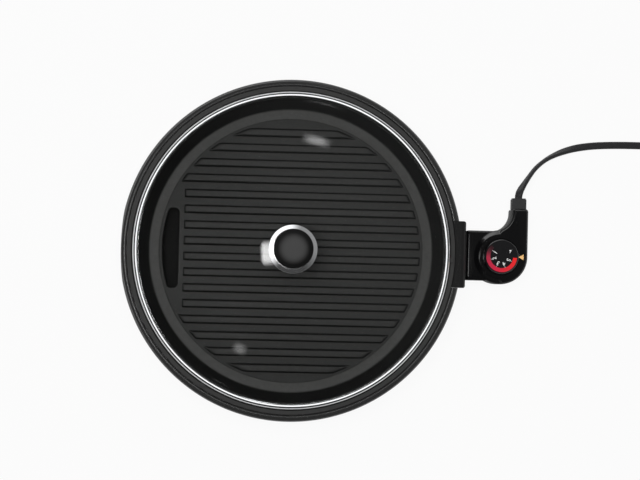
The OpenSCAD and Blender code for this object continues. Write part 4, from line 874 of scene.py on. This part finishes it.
def heat_band_material():
    """Red at one end, fading to near black at the other, by the angle about the dial's axis."""
    mat = material("dial_heat_band", (0.6, 0.02, 0.03), 0.35, noise=(0.05, 300.0))
    nodes, links = mat.node_tree.nodes, mat.node_tree.links
    where = nodes.new("ShaderNodeTexCoord")
    shift = nodes.new("ShaderNodeMapping")
    shift.inputs["Location"].default_value = (-(DIAL_X + GX) * MM, -DIAL_Y * MM, 0)
    grad = nodes.new("ShaderNodeTexGradient")
    grad.gradient_type = "RADIAL"
    ramp = nodes.new("ShaderNodeValToRGB")
    links.new(where.outputs["Object"], shift.inputs["Vector"])
    links.new(shift.outputs["Vector"], grad.inputs["Vector"])
    links.new(grad.outputs["Fac"], ramp.inputs["Fac"])
    # the gradient runs from -180 to 180 degrees as 0 to 1
    stops = [(0.0, (0.34, 0.02, 0.05)), (0.18, (0.55, 0.015, 0.05)), (0.3, (0.62, 0.018, 0.03)),
             (0.49, (0.8, 0.02, 0.02)), (0.86, (0.012, 0.006, 0.007)), (0.93, (0.06, 0.012, 0.018)),
             (1.0, (0.3, 0.02, 0.045))]
    elements = ramp.color_ramp.elements
    elements[0].position, elements[0].color = stops[0][0], (*stops[0][1], 1)
    elements[1].position, elements[1].color = stops[-1][0], (*stops[-1][1], 1)
    for position, color in stops[1:-1]:
        elements.new(position).color = (*color, 1)
    links.new(ramp.outputs["Color"], nodes["Principled BSDF"].inputs["Base Color"])
    return mat


def numeral(text, radius, angle):
    """A plain numeral of the dial's print, its foot towards the dial's axis."""
    curve = bpy.data.curves.new("numeral", "FONT")
    curve.body = text
    curve.size = 6.0
    curve.offset = 0.07
    curve.extrude = (PRINT_Z1 - PRINT_Z0) / 2
    curve.align_x = curve.align_y = "CENTER"
    obj = bpy.data.objects.new("numeral", curve)
    bpy.context.collection.objects.link(obj)
    mesh = bpy.data.meshes.new_from_object(obj.evaluated_get(bpy.context.evaluated_depsgraph_get()))
    verts = [tuple(v.co) for v in mesh.vertices]
    faces = [tuple(f.vertices) for f in mesh.polygons]
    bpy.data.objects.remove(obj)
    bpy.data.curves.remove(curve)
    bpy.data.meshes.remove(mesh)
    mid_x, mid_y = ((min(v[i] for v in verts) + max(v[i] for v in verts)) / 2 for i in (0, 1))
    part = moved((verts, faces), -mid_x, -mid_y, (PRINT_Z0 + PRINT_Z1) / 2)
    x, y = polar(radius, angle)
    return moved(moved(part, turn=angle - 90), DIAL_X + x, DIAL_Y + y)


def dial():
    profile = [(DIAL_R, 49.1), (DIAL_R, 55.0), (17.95, 55.5), (17.0, 56.25), (16.7, DIAL_RIM_Z)]
    profile += [(16.45, 56.15), (16.4, DIAL_FACE_Z), (0, DIAL_FACE_Z), (0, 53.0), (16.1, 53.0), (16.1, 49.1)]
    verts, faces = revolve(profile, 192)
    fluted = []
    for x, y, z in verts:
        r, a = math.hypot(x, y), math.atan2(y, x)
        if r > 17.8 and z < 55.0:
            r -= 0.45 * max(0.0, math.cos(24 * a)) ** 2
        fluted.append((DIAL_X + r * math.cos(a), DIAL_Y + r * math.sin(a), z))
    add_mesh("dial_knob", fluted, faces, "dial", M["dial_plastic"], ("dial", "dial_face"), "dial_plastic",
             smooth=40)

    def printed(name, mesh, mat, smooth=32.0):
        add_mesh(name, *mesh, "dial", mat, slot="dial_print", smooth=smooth)

    printed("dial_heat_band", strip(-4, -228, 12.1, 16.3, 96), heat_band_material(), 40)
    white = material("dial_white_print", (0.75, 0.75, 0.74), 0.4, mottled=0.03)
    places = [-24 - 47 * i for i in range(5)]
    printed("dial_ticks", join(*[strip(a - 1.4, a + 1.4, 10.9, 11.8, 2) for a in places]), white)
    printed("dial_numerals", join(*[numeral(str(5 - i), 8.1, a) for i, a in enumerate(places)]), white)
    vee = [(11.1, 0.05), (9.9, 0.5), (10.2, 1.35), (12.75, 0.2), (9.95, -1.35), (8.95, -1.35)]
    printed("dial_off_mark", moved(prism(vee, PRINT_Z0, PRINT_Z1), DIAL_X, DIAL_Y, 0, 34), white)


dial()


# ---- CAD nodes that stay, with their finish ----

def dress_nodes():
    for part in frame["record"]["subparts"]:
        slot = part["material_slot"]
        mat = M["nonstick" if slot == "nonstick_aluminium" else slot]
        for place in node(part["node"]).material_slots:
            place.material = mat
    bevelled(node("socket_guard"), 0.6, 3, 40)
    bevelled(node("strain_relief"), 0.5, 3, 40)
    bevelled(node("plug_blades"), 0.25, 2, 40)


dress_nodes()


# ---- Floor, world and light ----

FLOOR_HALF = 6.0  # metres
DIFFUSE_LEVEL = 0.12
WALL_DIM, WALL_BRIGHT = 0.3, 1.6
CEILING_DIM, CEILING_BRIGHT = 0.02, 0.08


def stage():
    """A white floor. It glows for the camera and through the glass, and faintly for gloss."""
    mat = bpy.data.materials.new("floor_white")
    mat.use_nodes = True
    nodes, links = mat.node_tree.nodes, mat.node_tree.links
    shader = nodes["Principled BSDF"]
    shader.inputs["Base Color"].default_value = (0.6, 0.6, 0.6, 1)
    shader.inputs["Roughness"].default_value = 0.9
    glow = nodes.new("ShaderNodeEmission")
    glow.inputs["Color"].default_value = (1, 1, 1, 1)
    glow.inputs["Strength"].default_value = 1.0
    path = nodes.new("ShaderNodeLightPath")
    most = None
    for ray, share in (("Is Camera Ray", 0.92), ("Is Transmission Ray", 0.92), ("Is Glossy Ray", 0.25)):
        part = nodes.new("ShaderNodeMath")
        part.operation = "MULTIPLY_ADD"
        part.inputs[1].default_value = share
        part.inputs[2].default_value = 0.0
        part.use_clamp = True
        links.new(path.outputs[ray], part.inputs[0])
        if most:
            links.new(most.outputs["Value"], part.inputs[2])
        most = part
    mix = nodes.new("ShaderNodeMixShader")
    links.new(most.outputs["Value"], mix.inputs["Fac"])
    links.new(shader.outputs["BSDF"], mix.inputs[1])
    links.new(glow.outputs["Emission"], mix.inputs[2])
    links.new(mix.outputs["Shader"], nodes["Material Output"].inputs["Surface"])
    mesh = bpy.data.meshes.new("floor")
    s = FLOOR_HALF
    mesh.from_pydata([(-s, -s, 0), (s, -s, 0), (s, s, 0), (-s, s, 0)], [], [(0, 1, 2, 3)])
    mesh.materials.append(mat)
    floor = bpy.data.objects.new("floor", mesh)
    bpy.context.collection.objects.link(floor)


def world():
    """White for the camera and through the glass, and one dim level for diffuse light.

    Gloss sees a studio: a bright wall low at the left and back, dim ones elsewhere, and above
    them a ceiling that is almost black, a little lighter towards the right and back.
    """
    w = bpy.data.worlds.new("world")
    w.use_nodes = True
    bpy.context.scene.world = w
    nodes, links = w.node_tree.nodes, w.node_tree.links

    def ramp(*args):
        return smooth_step(w.node_tree, *args)

    def blend(factor, a, b):
        mix = nodes.new("ShaderNodeMix")
        for key, value in (("Factor", factor), ("A", a), ("B", b)):
            if isinstance(value, float):
                mix.inputs[key].default_value = value
            else:
                links.new(value, mix.inputs[key])
        return mix.outputs["Result"]

    def towards(direction):
        dot = nodes.new("ShaderNodeVectorMath")
        dot.operation = "DOT_PRODUCT"
        dot.inputs[1].default_value = direction
        links.new(where.outputs["Generated"], dot.inputs[0])
        return dot.outputs["Value"]

    where = nodes.new("ShaderNodeTexCoord")
    path = nodes.new("ShaderNodeLightPath")
    up = towards((0, 0, 1))
    skirting = ramp(towards((0.7, 0.7, 0)), -0.3, 0.9, 0.05, WALL_DIM)
    walls = blend(ramp(towards((-0.87, 0.5, 0)), 0.15, 0.7, 0.0, 1.0), skirting, WALL_BRIGHT)
    ceiling = ramp(towards((0.8, 0.6, 0)), -0.25, 0.6, CEILING_DIM, CEILING_BRIGHT)
    studio = blend(ramp(up, 0.33, 0.43, 0.0, 1.0), walls, ceiling)
    through = blend(ramp(path.outputs["Glossy Depth"], 0.4, 0.6, 0.0, 1.0), 1.0, studio)
    soft = blend(ramp(path.outputs["Diffuse Depth"], 0.4, 0.6, 0.0, 1.0), through, DIFFUSE_LEVEL)
    level = blend(path.outputs["Is Camera Ray"], soft, 1.0)
    links.new(level, nodes["Background"].inputs["Strength"])
    nodes["Background"].inputs["Color"].default_value = (1, 1, 1, 1)


def fade_edges(data, soft):
    """The lamp's face grows dimmer towards its edges, over this share of its width."""
    data.use_nodes = True
    tree = data.node_tree
    split = tree.nodes.new("ShaderNodeSeparateXYZ")
    tree.links.new(tree.nodes.new("ShaderNodeNewGeometry").outputs["Parametric"], split.inputs[0])
    both = tree.nodes.new("ShaderNodeMath")
    both.operation = "MULTIPLY"
    for i, axis in enumerate(("X", "Y")):
        from_middle = tree.nodes.new("ShaderNodeMath")
        from_middle.operation = "SUBTRACT"
        from_middle.inputs[1].default_value = 0.5
        tree.links.new(split.outputs[axis], from_middle.inputs[0])
        size = tree.nodes.new("ShaderNodeMath")
        size.operation = "ABSOLUTE"
        tree.links.new(from_middle.outputs[0], size.inputs[0])
        tree.links.new(smooth_step(tree, size.outputs[0], 0.5 - soft, 0.5, 1.0, 0.0), both.inputs[i])
    tree.links.new(both.outputs[0], tree.nodes["Emission"].inputs["Strength"])


def lamp(name, place, aim, size, power, shows=True, soft=0.0, shape="RECTANGLE"):
    """An area lamp, in metres and watts. shows says whether gloss and glass see it."""
    data = bpy.data.lights.new(name, "AREA")
    data.shape = shape
    data.size, data.size_y = size
    data.energy = power
    if soft:
        fade_edges(data, soft)
    obj = bpy.data.objects.new(name, data)
    bpy.context.collection.objects.link(obj)
    obj.location = place
    obj.rotation_euler = (Vector(aim) - Vector(place)).to_track_quat("-Z", "Y").to_euler()
    obj.visible_camera = False
    obj.visible_glossy = obj.visible_transmission = shows


stage()
world()
lamp("panel", (0.014, 0.044, 2.1), (0.014, 0.044, 0.05), (0.28, 0.28), 0.27, shape="ELLIPSE")
lamp("overhead", (-0.34, -0.02, 2.1), (-0.05, 0, 0.05), (0.4, 0.24), 2.4, soft=0.3, shape="ELLIPSE")
lamp("soft_top", (-0.2, 0.1, 2.2), (-0.03, 0, 0.05), (0.9, 0.9), 40, shows=False)
lamp("soft_back", (0.35, 1.5, 1.6), (-0.03, 0, 0.05), (1.0, 0.7), 4, shows=False)
lamp("spot_back", (0.33, 1.63, 1.65), (-0.015, 0.11, 0.1), (0.5, 0.22), 1.2, soft=0.45)
lamp("spot_front", (-0.72, -1.43, 1.75), (-0.09, -0.1, 0.1), (0.28, 0.24), 0.4, soft=0.45)
bpy.context.scene.view_settings.view_transform = "Standard"
